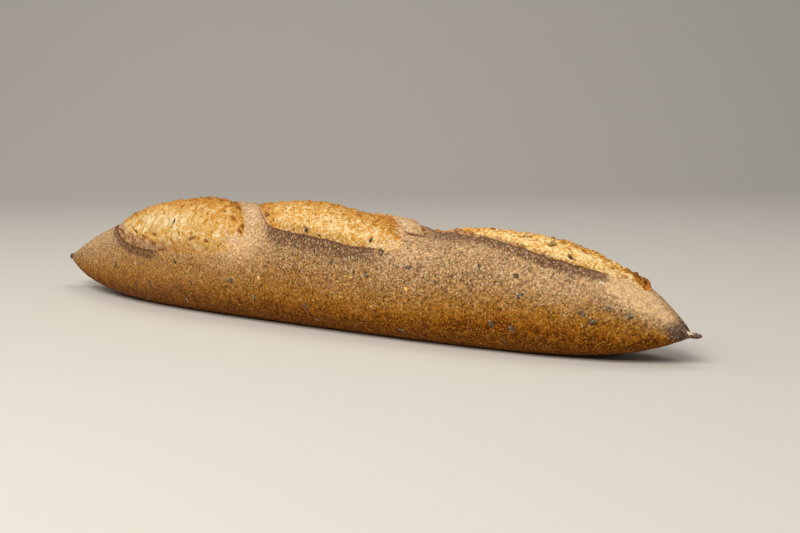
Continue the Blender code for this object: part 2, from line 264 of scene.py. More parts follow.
@dataclass(frozen=True)
class Slash:
    """A slash that opened in the oven."""

    name: str
    start: float
    end: float
    axis_start: float
    axis_end: float
    front: float
    back: float
    square_left: float
    square_right: float
    ear: float
    ear_from: float
    ear_to: float
    swell: float
    wall: float
    rim_left: float
    rim_right: float
    scorch_from: float        # the scorched strip below the lip, as shares of the length
    scorch_to: float
    scorch_width: float
    scorch: float
    band_from: float          # the skinned strip inside the lip
    band_to: float
    band_width: float
    flush_from: float         # share of the length from where crumb and crust meet without a step
    toast: float = 0.0        # how toasted the crumb is all over
    shelf: float = 0.0        # how far the raised crust runs on past the right end before it breaks off
    shelf_step: float = 0.0010
    shelf_climb: float = 0.0045
    shelf_front: tuple[float, float] = (8, 15)
    shelf_back: tuple[float, float] = (34, 50)
    shelf_stray: float = 0.0009
    shelf_stray_length: float = 0.0035
    ear_fade_in: float = 0.25     # fades, as shares of half the length
    ear_fade_out: float = 0.4
    rim_turn: tuple[float, float] = (-0.2, 1.0)
    flush_fade: float = 0.25
    flush_across: tuple[float, float] = (-0.4, 0.2)
    wobble_degrees: float = 1.3
    wobble_length: float = 0.008
    nick_degrees: float = 0.9
    nick_length: float = 0.0024

    def share(self, station: float) -> float:
        """Return -1 at the slash's left end and 1 at its right end."""
        middle = (self.start + self.end) / 2
        return (station - middle) / (self.end - middle)

    def axis(self, station: float) -> float:
        """Return the angle of the slash's middle line."""
        return mix(self.axis_start, self.axis_end, (self.share(station) + 1) / 2)

    def torn(self, station: float, layer: float) -> float:
        """Return by how many degrees the torn edge strays."""
        place = Vector((station, 0, self.start))
        return (self.wobble_degrees * ripple(place, self.wobble_length, layer)
                + self.nick_degrees * ripple(place, self.nick_length, layer))

    def reaches(self, station: float) -> tuple[float, float]:
        """Return how many degrees the opening reaches to the front and to the back amidships."""
        return self.front + self.torn(station, 1), self.back + self.torn(station, 2)

    def squareness(self, along: float) -> float:
        """Return how square the outline is in the left or the right half."""
        return self.square_left if along < 0 else self.square_right

    def outline_reach(self, along: float) -> float:
        """Return half the opening's width at a share of its length, 1 in the middle."""
        power = self.squareness(along)
        return (1 - clamp(abs(along)) ** power) ** (1 / power)

    def find(self, station: float, angle: float, radius: float) -> Whereabouts:
        """Find where a place lies in terms of this slash.

        Args:
            station: How far along the loaf.
            angle: Degrees from the crown.
            radius: The loaf's half width, which turns angles into lengths.

        Returns:
            The place's whereabouts.
        """
        front, back = self.reaches(station)
        along, off_axis = self.share(station), angle - self.axis(station)
        reach = front if off_axis > 0 else back
        across = off_axis / reach
        power = self.squareness(along)
        level = (abs(along) ** power + abs(across) ** power) ** (1 / power)
        endways = abs(along / max(level, 1e-6)) ** power
        away = (level - 1) * mix(radians(reach) * radius, (self.end - self.start) / 2, endways)
        return Whereabouts(along, across, level, away, endways)

    def ear_share(self, station: float) -> float:
        """Return how far the lip is raised along the slash, from 0 to 1."""
        return window(self.share(station), self.ear_from, self.ear_fade_in, self.ear_to, self.ear_fade_out)

    def rim(self, station: float) -> float:
        """Return how high the crust stands round the rest of the opening."""
        return mix(self.rim_left, self.rim_right, smooth_step(*self.rim_turn, self.share(station)))

    def flush(self, spot: Whereabouts) -> float:
        """Return how far crumb and crust meet without a step, from 0 to 1."""
        return (smooth_step(self.flush_from, self.flush_from + self.flush_fade, spot.along)
                * smooth_step(*self.flush_across, spot.across))

    def shelf_height(self, station: float, angle: float) -> float:
        """Return the height of the raised crust past the right end, which breaks off in a step."""
        if not self.shelf:
            return 0.0
        round_it = Vector((angle * DEGREE_LENGTH, 0, 0))
        beyond = station - self.end + self.shelf_stray * ripple(round_it, self.shelf_stray_length, 3)
        reached = smooth_step(-self.shelf_climb, 0.0, beyond)
        lasting = 1 - smooth_step(self.shelf - self.shelf_step, self.shelf, beyond)
        across = (1 - smooth_step(*self.shelf_front, angle)) * (1 - smooth_step(*self.shelf_back, -angle))
        return self.rim_right * reached * lasting * across

    def ear_height(self, station: float, spot: Whereabouts) -> float:
        """Return how high the front lip stands up."""
        return self.ear * self.ear_share(station) * (1 - spot.endways) if spot.across > 0 else 0.0


SLASHES = (
    Slash("first", start=-0.182, end=-0.062, axis_start=17, axis_end=18, front=61, back=36,
          square_left=2.8, square_right=4.0, ear=0.0016, ear_from=-1.1, ear_to=0.75,
          swell=0.0044, wall=0.0024, rim_left=0.0005, rim_right=0.0006,
          scorch_from=-1.15, scorch_to=-0.40, scorch_width=0.0044, scorch=1.4,
          band_from=-1.2, band_to=-0.30, band_width=0.0105, flush_from=0.55, toast=0.22),
    Slash("second", start=-0.0462, end=0.061, axis_start=2, axis_end=3, front=51, back=34,
          square_left=5.0, square_right=2.8, ear=0.0034, ear_from=-1.0, ear_to=0.45,
          swell=0.0018, wall=0.0030, rim_left=0.0004, rim_right=0.0030,
          scorch_from=-1.05, scorch_to=0.45, scorch_width=0.0085, scorch=0.80,
          band_from=-1.2, band_to=-1.1, band_width=0.0020, flush_from=0.50, toast=0.12, shelf=0.0160),
    Slash("third", start=0.086, end=0.2138, axis_start=-19, axis_end=-6, front=49, back=34,
          square_left=1.8, square_right=1.6, ear=0.0034, ear_from=-0.8, ear_to=0.50,
          swell=0.0026, wall=0.0030, rim_left=0.0003, rim_right=0.0008,
          scorch_from=-1.15, scorch_to=0.40, scorch_width=0.0052, scorch=1.25,
          band_from=-1.0, band_to=-0.05, band_width=0.0100, flush_from=0.62, toast=0.20),
)


@dataclass(frozen=True)
class Patch:
    """A soft-edged spot on the skin."""

    station: float
    angle: float
    length: float
    degrees: float
    strength: float = 1.0

    def at(self, station: float, angle: float) -> float:
        """Return how much of the patch a place has."""
        along, across = (station - self.station) / self.length, (angle - self.angle) / self.degrees
        return self.strength * exp(-along * along - across * across)


def patched(patches: Iterable[Patch], station: float, angle: float) -> float:
    """Return how much a place has of some patches together, at most 1."""
    return clamp(sum(patch.at(station, angle) for patch in patches))


@dataclass(frozen=True)
class Pocket:
    """An oval hole in the torn crumb."""

    station: float
    angle: float
    length: float
    degrees: float
    depth: float
    slope: float = 0.0        # degrees that its long axis climbs for each millimetre along
    floor: float = 0.35       # share of its radius that is floor

    def at(self, station: float, angle: float) -> float:
        """Return the share of the hole's depth at a place, with steep sides and a round floor."""
        along = (station - self.station) / self.length
        across = (angle - self.angle - self.slope * (station - self.station) / MILLIMETRE) / self.degrees
        return 1 - smooth_step(self.floor, 1.0, (along * along + across * across) ** 0.5)


POCKETS = (
    Pocket(-0.0640, 44, 0.0016, 4.0, 0.0026),
    Pocket(-0.0668, 49, 0.0022, 3.0, 0.0012, slope=1.2),
    Pocket(-0.0700, 36, 0.0014, 2.6, 0.0016),
    Pocket(-0.0645, 17, 0.0022, 5.0, 0.0014),
    Pocket(-0.0705, 63, 0.0018, 2.0, 0.0009),
    Pocket(-0.0940, 64, 0.0030, 1.8, 0.0006),
    Pocket(-0.1060, 63, 0.0056, 2.2, 0.0006, slope=-0.5),
    Pocket(-0.1410, 58, 0.0040, 1.8, 0.0006),
    Pocket(-0.1500, 60, 0.0028, 2.2, 0.0007, slope=1.0),
    Pocket(-0.1590, 52, 0.0034, 2.4, 0.0007, slope=1.2),
    Pocket(-0.1768, 41, 0.0062, 4.5, 0.0006, slope=2.4),
    Pocket(-0.0425, 26, 0.0018, 6.0, 0.0011),
    Pocket(0.0560, 18, 0.0013, 2.8, 0.0022),
    Pocket(0.0575, 26, 0.0020, 3.5, 0.0012, slope=1.6),
    Pocket(0.1430, 7, 0.0050, 2.8, 0.0022, slope=-0.9),
    Pocket(0.1570, 10, 0.0056, 3.4, 0.0024, slope=-1.4),
    Pocket(0.1640, 22, 0.0028, 2.6, 0.0013),
    Pocket(0.1300, 2, 0.0030, 3.0, 0.0013),
    Pocket(0.2045, -14, 0.0022, 4.0, 0.0020),
    Pocket(0.2088, -10, 0.0017, 4.5, 0.0030),
    Pocket(0.2116, -9, 0.0013, 4.0, 0.0028),
    Pocket(0.2100, -1, 0.0014, 4.0, 0.0026),
    Pocket(0.2060, -8, 0.0016, 3.0, 0.0022),
    Pocket(0.2108, 4, 0.0014, 2.6, 0.0020),
)

# Creases where the second slash's shelf broke off.
CREASES = (
    Pocket(0.0690, 15.5, 0.0130, 1.9, 0.0005, slope=-0.25),
    Pocket(0.0655, 18.5, 0.0050, 1.6, 0.0003, slope=-0.4),
)


# --- the loaf's relief ------------------------------------------------------------------------------------

@dataclass(frozen=True)
class Relief:
    """Heights over the plain loaf: the crust's, and the crumb's in the slashes."""

    form: LoafForm
    slashes: tuple[Slash, ...] = SLASHES
    ear_reach: float = 0.008
    rim_reach: float = 0.011
    ear_lean: float = 2.6
    lean_reach: float = 0.0026
    crumb_rise: float = 0.010
    end_wall: float = 0.0013
    flush_depth: float = 0.0003
    lump: float = 0.0007            # hand-shaped unevenness
    lump_pitch: tuple[float, float] = (40, 0.030)
    lump_fade: float = 0.05
    base_from: float = 115
    base_to: float = 150
    skin_reach: float = 0.0015      # how far from its edge the crumb is smooth
    tear: float = 0.0009            # the crumb's coarse lumps, strands, web, bubbles and grain
    tear_pitch: tuple[float, float] = (210, 0.11)
    strand: float = 0.00050
    strand_size: float = 0.0042
    strand_askew: float = 0.35
    strand_squeeze: float = 0.42
    strand_waver: float = 0.0015
    strand_waver_size: float = 0.007
    web: float = 0.00032
    web_size: float = 0.0023
    bubble: float = 0.0007
    bubble_cell: float = 0.0034
    bubble_edge: tuple[float, float] = (0.12, 0.42)
    bubble_kept: tuple[float, float] = (0.45, 0.60)
    bubble_layer: float = 9.1
    grain: float = 0.00014
    grain_size: float = 0.0010
    ridge_level: float = 0.5        # the share of ridge, and what each kind of tearing adds to it
    strand_ridge: float = 0.30
    web_ridge: float = 0.16
    grain_ridge: float = 0.12
    bubble_ridge: float = -0.5
    bubble_shade: float = 0.6       # how dark a bubble is beside a pocket
    crag: float = 0.0036            # the torn ridge that stands up at the last slash's right end
    crag_start: float = 0.199
    crag_end: float = 0.2128
    crag_angle: float = -21
    crag_degrees: float = 19
    crag_top: float = 0.62          # share of its width that is not slope
    jaggedness: float = 0.22
    jag_size: float = 0.0024
    wall_width: float = 0.0008      # ground plan of the crust's broken edge
    buried: float = 0.0022          # how deep the crust runs on below the crumb's edge
    well_buried: float = 0.0038     # and how much deeper further in
    burying: tuple[float, float] = (0.002, 0.006)

    def nearest(self, station: float) -> Slash:
        """Return the slash that a station lies in or closest to."""
        return min(self.slashes, key=lambda slash: max(slash.start - station, station - slash.end))

    def lumps(self, station: float, angle: float) -> float:
        """Return the hand-shaped unevenness of the whole loaf."""
        lengthways, round_it = self.lump_pitch
        swell = noise.noise(Vector((station * lengthways, angle * round_it, 0)))
        return (self.lump * swell * smooth_step(0, self.lump_fade, self.form.half_length - abs(station))
                * (1 - smooth_step(self.base_from, self.base_to, abs(angle))))

    def creased(self, station: float, angle: float) -> tuple[float, float]:
        """Return how deep the crust is creased at a place, and the share of crease."""
        shares = [(crease.at(station, angle), crease.depth) for crease in CREASES
                  if abs(station - crease.station) < crease.length]
        return sum(share * depth for share, depth in shares), max((share for share, _ in shares), default=0.0)

    def lift(self, slash: Slash, station: float, spot: Whereabouts) -> float:
        """Return how far the oven raised the crust beside a slash."""
        away = max(spot.away, 0.0)
        level = slash.rim(station) * (1 - slash.flush(spot))
        return max(level * exp(-away / self.rim_reach),
                   slash.ear_height(station, spot) * exp(-away / self.ear_reach))

    def crumb_base(self, slash: Slash, station: float, spot: Whereabouts) -> float:
        """Return the crumb's height without its tearing: low at the edge, swelling in the middle."""
        ear = slash.ear_height(station, spot) / slash.ear
        edge = slash.rim(station) * (1 - ear) - mix(self.end_wall, slash.wall, ear)
        edge = mix(edge, -self.flush_depth, slash.flush(spot))
        risen = smooth_step(0, self.crumb_rise, -spot.away)
        return mix(edge, slash.swell * (1 - spot.level ** 2), risen)

    def crust_height(self, station: float, angle: float) -> tuple[float, Whereabouts, Slash]:
        """Find the crust's height over the plain loaf.

        Args:
            station: How far along the loaf.
            angle: Degrees from the crown.

        Returns:
            The height, the place's whereabouts in the nearest slash, and that slash.
        """
        slash = self.nearest(station)
        spot = slash.find(station, angle, self.form.half_width)
        if spot.away >= 0:
            height = max(max(self.lift(other, station, other.find(station, angle, self.form.half_width)),
                             other.shelf_height(station, angle)) for other in self.slashes)
        else:
            floor_height = (self.crumb_base(slash, station, spot) - self.buried
                            - self.well_buried * smooth_step(*self.burying, -spot.away))
            height = mix(self.lift(slash, station, spot), floor_height,
                         smooth_step(0, self.wall_width, -spot.away))
        return self.lumps(station, angle) + height, spot, slash

    def lean(self, slash: Slash, station: float, spot: Whereabouts) -> float:
        """Return by how many degrees the crust curls over the crumb at a lip."""
        if spot.across <= 0:
            return 0.0
        near = clamp(1 - abs(spot.away) / self.lean_reach)
        return self.ear_lean * slash.ear_share(station) * near * near * (1 - spot.endways)

    def crumb_detail(self, station: float, angle: float, spot: Whereabouts) -> tuple[float, float, float]:
        """Find how the crumb tore.

        Args:
            station: How far along the loaf.
            angle: Degrees from the crown.
            spot: The place's whereabouts in its slash.

        Returns:
            The height over the crumb's base, the share of ridge, and the share of pocket.
        """
        turn = radians(angle) * self.form.half_width
        place = Vector((station, turn, 0))
        risen = smooth_step(0, self.crumb_rise, -spot.away)
        skinned = smooth_step(0, self.skin_reach, -spot.away)
        lengthways, round_it = self.tear_pitch
        coarse = self.tear * noise.noise(Vector((station * lengthways, angle * round_it, 4)))
        # Strands of stretched dough run askew across the opening.
        waver = Vector((ripple(place, self.strand_waver_size, 5), 0, 0)) * self.strand_waver
        strand_place = Vector((station + self.strand_askew * turn, turn * self.strand_squeeze, 0))
        strand = 1 - 2 * abs(ripple(strand_place + waver, self.strand_size, 6))
        web = 1 - 2 * abs(ripple(place, self.web_size, 7))
        grain = ripple(place, self.grain_size, 8)
        distances, centres = noise.voronoi(place / self.bubble_cell + Vector((0, 0, self.bubble_layer)))
        bubble = ((1 - smooth_step(*self.bubble_edge, distances[0]))
                  * smooth_step(*self.bubble_kept, noise.cell(centres[0] * 9)))
        tearing = (risen * (self.strand * strand + self.web * web - self.bubble * bubble)
                   + skinned * self.grain * grain)
        pocket, depth = 0.0, 0.0
        for hole in POCKETS:
            if abs(station - hole.station) < hole.length:
                share = hole.at(station, angle)
                depth += share * hole.depth
                pocket = max(pocket, share)
        ridge = clamp(self.ridge_level + self.strand_ridge * strand + self.web_ridge * web
                      + self.grain_ridge * grain + self.bubble_ridge * bubble)
        height = coarse * risen + self.crag_height(station, angle) + tearing - depth
        return height, ridge, clamp(pocket + self.bubble_shade * bubble * risen)

    def crag_height(self, station: float, angle: float) -> float:
        """Return the height of the torn ridge, which climbs to the right and is steep on its front side."""
        climb = clamp((station - self.crag_start) / (self.crag_end - self.crag_start))
        off = abs(angle - self.crag_angle) / self.crag_degrees
        jagged = 1 + self.jaggedness * ripple(ragged_place(station, angle), self.jag_size, 11)
        return self.crag * climb * jagged * (1 - smooth_step(self.crag_top, 1, off))

    def crumb_height(self, slash: Slash, station: float, angle: float) -> tuple[float, float, float]:
        """Return the crumb's height over the plain loaf, and its shares of ridge and pocket."""
        spot = slash.find(station, angle, self.form.half_width)
        height, ridge, pocket = self.crumb_detail(station, angle, spot)
        return self.lumps(station, angle) + self.crumb_base(slash, station, spot) + height, ridge, pocket

    def surface(self, station: float, angle: float) -> tuple[Vector, Vector]:
        """Return the outermost point at a place, crust or crumb, and the direction out of the loaf."""
        point, outward = self.form.skin(station, angle)
        height, spot, slash = self.crust_height(station, angle)
        if spot.level < 1:
            height = max(height, self.crumb_height(slash, station, angle)[0])
        return point + outward * height, outward


# --- meshes -----------------------------------------------------------------------------------------------

class BallGrid(NamedTuple):
    """A ball whose points know their ring and lane, to be drawn out into a closed skin."""

    mesh: bmesh.types.BMesh
    layers: dict[Share, bmesh.types.BMLayerItem]
    places: list[tuple[bmesh.types.BMVert, int, int]]


def ball_grid(rings: int, lanes: int, shares: Sequence[Share]) -> BallGrid:
    """Make a ball of rings and lanes.

    Args:
        rings: Bands from pole to pole.
        lanes: Segments round it.
        shares: What each point is to keep for the finishes.

    Returns:
        The ball.
    """
    mesh = bmesh.new()
    bmesh.ops.create_uvsphere(mesh, u_segments=lanes, v_segments=rings, radius=1)
    layers = {share: mesh.verts.layers.float.new(share.value) for share in shares}
    places = []
    for vertex in mesh.verts:
        x, y, z = vertex.co
        ring = round(acos(clamp(-z, -1, 1)) / pi * rings)
        lane = round(atan2(y, x) / (2 * pi) * lanes) % lanes
        places.append((vertex, ring, lane))
    return BallGrid(mesh, layers, places)


def in_scene(name: str, data: bpy.types.ID | None) -> bpy.types.Object:
    """Put a mesh, lamp or camera into the scene as an object of this name."""
    item = bpy.data.objects.new(name, data)
    bpy.context.scene.collection.objects.link(item)
    return item


def smooth_object(mesh: bmesh.types.BMesh, name: str, material: bpy.types.Material) -> bpy.types.Object:
    """Turn a mesh, which is used up, into a smooth-shaded object of this name and finish."""
    data = bpy.data.meshes.new(name)
    mesh.to_mesh(data)
    mesh.free()
    data.shade_smooth()
    data.materials.append(material)
    return in_scene(name, data)


def loaf_piece(mesh: bmesh.types.BMesh, name: str, material: bpy.types.Material,
               slot: Slot) -> bpy.types.Object:
    """Turn a mesh into a piece of the loaf.

    Args:
        mesh: The mesh, which is used up.
        name: The piece's name.
        material: Its finish.
        slot: Not used.

    Returns:
        The piece.
    """
    bmesh.ops.recalc_face_normals(mesh, faces=mesh.faces)
    piece = smooth_object(mesh, name, material)
    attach(piece, BODY)
    return piece


# --- finishes ---------------------------------------------------------------------------------------------

def linear(hex_code: str) -> tuple[float, float, float, float]:
    """Turn an sRGB colour such as "#C08040" into the linear one that nodes take."""
    channels = [int(hex_code[place:place + 2], 16) / 255 for place in (1, 3, 5)]
    return (*(c / 12.92 if c <= 0.04045 else ((c + 0.055) / 1.055) ** 2.4 for c in channels), 1.0)


def grain_scale(size_mm: float) -> float:
    """Return the texture scale that makes a pattern this many millimetres coarse."""
    return 1 / (size_mm * MILLIMETRE)


def uneven(place: Socket, size_mm: float, detail: float, distortion: float = 0.0) -> dict[str, object]:
    """Return a noise node's inputs for unevenness of a size, which mostly gives 0.3 to 0.7."""
    return {"Vector": place, "Scale": grain_scale(size_mm), "Detail": detail, "Roughness": 0.6,
            "Distortion": distortion}


class Recipe:
    """A material as it is put together from nodes."""

    def __init__(self, name: str) -> None:
        """Start a material of this name."""
        self.material = bpy.data.materials.new(name)
        self.material.use_nodes = True
        self.tree = self.material.node_tree
        self.shader = self.tree.nodes["Principled BSDF"]

    def add(self, kind: str, inputs: dict | None = None, out: int | str = 0,
            stops: Sequence[tuple[float, str]] = (), **settings: object) -> Socket:
        """Add a node with its settings and links.

        Args:
            kind: The node's type, without the words that all of them start with.
            inputs: For each input, a value, or the output that it is linked to.
            out: The output that is wanted.
            stops: A colour ramp's places and sRGB colours.
            settings: The node's own properties.

        Returns:
            The wanted output.
        """
        node = self.tree.nodes.new("ShaderNode" + kind)
        for name, value in settings.items():
            setattr(node, name, value)
        for socket, value in (inputs or {}).items():
            if isinstance(value, Socket):
                self.tree.links.new(value, node.inputs[socket])
            else:
                node.inputs[socket].default_value = value
        if stops:
            elements = node.color_ramp.elements
            while len(elements) < len(stops):
                elements.new(1.0)
            for element, (place, colour) in zip(elements, stops):
                element.position = place
                element.color = linear(colour)
        return node.outputs[out]

    def shares(self, wanted: Iterable[Share]) -> dict[Share, Socket]:
        """Return the shares that the mesh keeps at its points."""
        return {share: self.add("Attribute", out="Fac", attribute_name=share.value) for share in wanted}

    def layered(self, colour: Paint, coats: Iterable[tuple[Socket, Paint]]) -> Socket:
        """Lay coats over a colour, each with its share and its own colour, and return the result."""
        for share, coat in coats:
            under, over = (linear(paint) if isinstance(paint, str) else paint for paint in (colour, coat))
            colour = self.add("Mix", {MIX_FACTOR: share, MIX_A: under, MIX_B: over}, MIX_RESULT,
                              data_type="RGBA")
        return colour

    def finished(self, colour: Socket, height: Socket, strength: float, depth_mm: float, roughness: float,
                 specular: float = 0.5) -> bpy.types.Material:
        """Link the colour and the fine relief to the shader.

        Args:
            colour: The surface's colour.
            height: Its fine relief.
            strength: How strongly the relief turns the light.
            depth_mm: How deep the relief is.
            roughness: The shader's roughness.
            specular: The shader's specular level.

        Returns:
            The material.
        """
        normal = self.add("Bump", {"Height": height, "Strength": strength, "Distance": depth_mm * MILLIMETRE})
        self.tree.links.new(colour, self.shader.inputs["Base Color"])
        self.tree.links.new(normal, self.shader.inputs["Normal"])
        self.shader.inputs["Roughness"].default_value = roughness
        self.shader.inputs["Specular IOR Level"].default_value = specular
        return self.material


class Span(NamedTuple):
    """A stretch of a pattern's values, and what its two ends turn into."""

    low: float
    high: float
    least: float = 0.0
    most: float = 1.0

    def of(self, value: Socket) -> dict[str, object]:
        """Return a Map Range node's inputs for this stretch of a value."""
        return {"Value": value, "From Min": self.low, "From Max": self.high, "To Min": self.least,
                "To Max": self.most}


@dataclass(frozen=True)
class Dots:
    """Soft round dots strewn through the dough: how far apart, how large, and which share of them shows."""

    apart_mm: float
    inner: float      # where a dot begins to fade, as a share of that distance
    outer: float      # where it has faded out
    kept: float
    faint: float = 0.35

    def add(self, recipe: Recipe, place: Socket) -> Socket:
        """Add the dots to a material: 1 in the dots and 0 between them."""
        cells = recipe.add("TexVoronoi", {"Vector": place, "Scale": grain_scale(self.apart_mm)}).node.outputs
        dot = recipe.add("MapRange", Span(self.outer, self.inner).of(cells["Distance"]),
                         interpolation_type="SMOOTHSTEP")
        strength = recipe.add("MapRange", Span(1 - self.kept, 1 - self.faint * self.kept).of(cells["Color"]))
        return recipe.add("Math", {0: dot, 1: strength}, operation="MULTIPLY")


@dataclass(frozen=True)
class Ragged:
    """A soft edge that a pattern breaks up: how far it bites, the share inside, and how softly it fades."""

    bite: float
    most: float
    softness: float = 0.16

    def add(self, recipe: Recipe, share: Socket, pattern: Socket) -> Socket:
        """Add to a material the share that a pattern has broken up."""
        pushed = recipe.add("Math", {0: pattern, 1: self.bite, 2: share}, operation="MULTIPLY_ADD")
        middle = 0.5 + 0.5 * self.bite
        edge = Span(middle - self.softness, middle + self.softness, most=self.most)
        return recipe.add("MapRange", edge.of(pushed), interpolation_type="SMOOTHSTEP")


@dataclass(frozen=True)
class BakedCrust:
    """Bread crust, baked with steam: blistered brown skin with cream specks, darker and tighter low down,
    where painted shade adds to the bake.

    Its finest grains are drawn about 1 mm coarse, because the real ones are too fine to show in the render.
    """

    # the darkest stop, partly painted shade
    underside: str = "#683904"
    low: str = "#804E08"
    side: str = "#8C6020"
    middle: str = "#90693A"
    shoulder: str = "#8E6E4A"
    top: str = "#A0805C"
    pale: str = "#D3B084"
    rosy: str = "#8E6A58"
    amber_speck: str = "#BC7A1C"
    golden_speck: str = "#D2A250"
    cream_speck: str = "#EAD6AE"
    pore_shade: str = "#80603E"
    # painted shade in the creases where the second slash's shelf broke off
    crease: str = "#6E4630"
    scorched: str = "#573929"
    # burnt, and partly painted shade under the lip's edge
    lip_line: str = "#5E3A28"
    charred: str = "#433833"
    ash: str = "#A79E92"
    inside: str = "#B5692E"
    flour: str = "#F4EADA"
    tray: str = "#84531F"
    ochre_tint: str = "#FFFAD6"
    mauve_tint: str = "#FAF1FF"
    sand_mm: float = 1.6
    grain_mm: float = 0.8
    mottle_mm: float = 6.0
    bite_mm: float = 2.6
    cloud_mm: float = 22.0
    tile_mm: float = 1.0
    waver_mm: float = 1.6
    waver_reach_mm: float = 1.0
    mottle_weight: float = 0.70       # how far the mottling shifts the bake
    bake_shift: float = 0.35          # and what brings it back on average
    rosy_clouds: Span = Span(0.48, 0.64, most=0.32)
    tile_shade: Span = Span(0.0, 1.0, 0.66, 1.44)
    sand_shade: Span = Span(0.34, 0.66, 0.52, 1.56)
    pale_calm: float = 0.5            # how much quieter the grain is where the crust is pale
    bite_weight: float = 2.4
    creamy: Span = Span(1.14, 2.10)
    singed_caps: float = 0.35         # how far the caps fade where the crust is scorched
    scorch_edge: Ragged = Ragged(1.4, 0.80, 0.34)
    lip_edge: Ragged = Ragged(1.6, 0.65)
    burn_edge: Ragged = Ragged(1.6, 0.88, 0.30)
    flour_edge: Ragged = Ragged(1.2, 0.85)
    specks: Dots = Dots(1.6, 0.12, 0.48, 0.72)
    fine_specks: Dots = Dots(1.15, 0.20, 0.52, 0.70)
    # the pores' dots, painted dark as shade
    pits: Dots = Dots(1.9, 0.10, 0.38, 0.50)
    speck_strength: float = 0.85
    roughness: float = 0.72
    specular: float = 0.08
    bump_strength: float = 0.9
    blister_depth_mm: float = 0.35

    def tiles(self, recipe: Recipe, place: Socket) -> tuple[Socket, Socket]:
        """Add the fine grains of the dried skin: each one's lightness, about 1, and its hue, 0 to 1."""
        waver = recipe.add("TexNoise", {"Vector": place, "Scale": grain_scale(self.waver_mm), "Detail": 2.0},
                           "Color")
        reach = (self.waver_reach_mm * MILLIMETRE,) * 3
        askew = recipe.add("VectorMath", {0: waver, 1: reach, 2: place}, operation="MULTIPLY_ADD")
        cells = recipe.add("TexVoronoi", {"Vector": askew, "Scale": grain_scale(self.tile_mm)}, "Color")
        channels = recipe.add("SeparateColor", {"Color": cells}).node.outputs
        return recipe.add("MapRange", self.tile_shade.of(channels["Red"])), channels["Green"]

    def material(self) -> bpy.types.Material:
        """Build the crust's material."""
        recipe = Recipe("baked_bread_crust")
        place, shares = recipe.add("TexCoord", out="Object"), recipe.shares(CRUST_SHARES)
        cloud, mottle, bite, sand, grain = (
            recipe.add("TexNoise", uneven(place, size_mm, detail)) for size_mm, detail in (
                (self.cloud_mm, 3), (self.mottle_mm, 4), (self.bite_mm, 3), (self.sand_mm, 3),
                (self.grain_mm, 1)))
        specks, fine_specks, pits = (
            dots.add(recipe, place) for dots in (self.specks, self.fine_specks, self.pits))
        singed = recipe.add("Math", {0: bite, 1: sand}, operation="ADD")
        singed = recipe.add("Math", {0: singed, 1: 0.5}, operation="MULTIPLY")

        # The bake: darkest and most saturated low down, where the colour also holds painted shade, paler and
        # rosier over the shoulder.
        level = recipe.add("Math", {0: mottle, 1: self.mottle_weight, 2: shares[Share.CROWN]},
                           operation="MULTIPLY_ADD")
        level = recipe.add("Math", {0: level, 1: self.bake_shift}, operation="SUBTRACT")
        colour = recipe.add("ValToRGB", {"Fac": level}, stops=(
            (0.0, self.underside), (0.10, self.low), (0.28, self.side), (0.46, self.middle),
            (0.72, self.shoulder), (1.0, self.top)))
        rosy = recipe.add("MapRange", self.rosy_clouds.of(cloud))
        rosy = recipe.add("Math", {0: rosy, 1: shares[Share.CROWN]}, operation="MULTIPLY")
        colour = recipe.layered(colour, (
            (rosy, self.rosy), (shares[Share.PALE], self.pale), (shares[Share.UNDER], self.tray),
            (shares[Share.EDGE], self.inside),
            (self.scorch_edge.add(recipe, shares[Share.SCORCH], singed), self.scorched)))

        # Each grain of the skin took the heat differently.
        plain = recipe.add("Math", {0: shares[Share.PALE], 1: -self.pale_calm, 2: 1.0},
                           operation="MULTIPLY_ADD")
        lightness, hue = self.tiles(recipe, place)
        shade = recipe.add("MapRange", self.sand_shade.of(sand), clamp=False)
        shade = recipe.add("Math", {0: shade, 1: lightness}, operation="MULTIPLY")
        shaded = recipe.add("VectorMath", {0: colour, "Scale": shade}, operation="SCALE")
        tint = recipe.layered(self.ochre_tint, ((hue, self.mauve_tint),))
        shaded = recipe.add("VectorMath", {0: shaded, 1: tint}, operation="MULTIPLY")
        colour = recipe.layered(colour, ((plain, shaded),))

        # Pores are painted dark as shade, and the caps of blisters golden to cream.
        pores = recipe.add("Math", {0: pits, 1: plain}, operation="MULTIPLY")
        colour = recipe.add("Mix", {MIX_FACTOR: pores, MIX_A: colour, MIX_B: linear(self.pore_shade)}, MIX_RESULT,
                            data_type="RGBA", blend_type="MULTIPLY")
        creamy = recipe.add("Math", {0: bite, 1: self.bite_weight, 2: shares[Share.CROWN]},
                            operation="MULTIPLY_ADD")
        cap = recipe.add("ValToRGB", {"Fac": recipe.add("MapRange", self.creamy.of(creamy))}, stops=(
            (0.10, self.amber_speck), (0.45, self.golden_speck), (1.0, self.cream_speck)))
        unsinged = recipe.add("Math", {0: shares[Share.SCORCH], 1: -self.singed_caps, 2: 1.0},
                              operation="MULTIPLY_ADD")
        caps = recipe.add("Math", {0: specks, 1: fine_specks}, operation="MAXIMUM")
        for factor in (plain, self.speck_strength, unsinged):
            caps = recipe.add("Math", {0: caps, 1: factor}, operation="MULTIPLY")

        # The dark line along a lip, burnt and partly painted shade, painted shade in the creases, the burnt
        # tips with their ashy blister caps, and flour.
        ashy = recipe.layered(self.charred, ((bite, self.scorched), (caps, self.ash)))
        colour = recipe.layered(colour, (
            (caps, cap), (shares[Share.POCKET], self.crease),
            (self.lip_edge.add(recipe, shares[Share.LIP], singed), self.lip_line),
            (self.burn_edge.add(recipe, shares[Share.BURN], singed), ashy),
            (self.flour_edge.add(recipe, shares[Share.FLOUR], grain), self.flour)))
        height = recipe.add("Math", {0: caps, 1: grain}, operation="ADD")
        height = recipe.add("Math", {0: height, 1: pores}, operation="SUBTRACT")
        return recipe.finished(colour, height, self.bump_strength, self.blister_depth_mm, self.roughness,
                               self.specular)


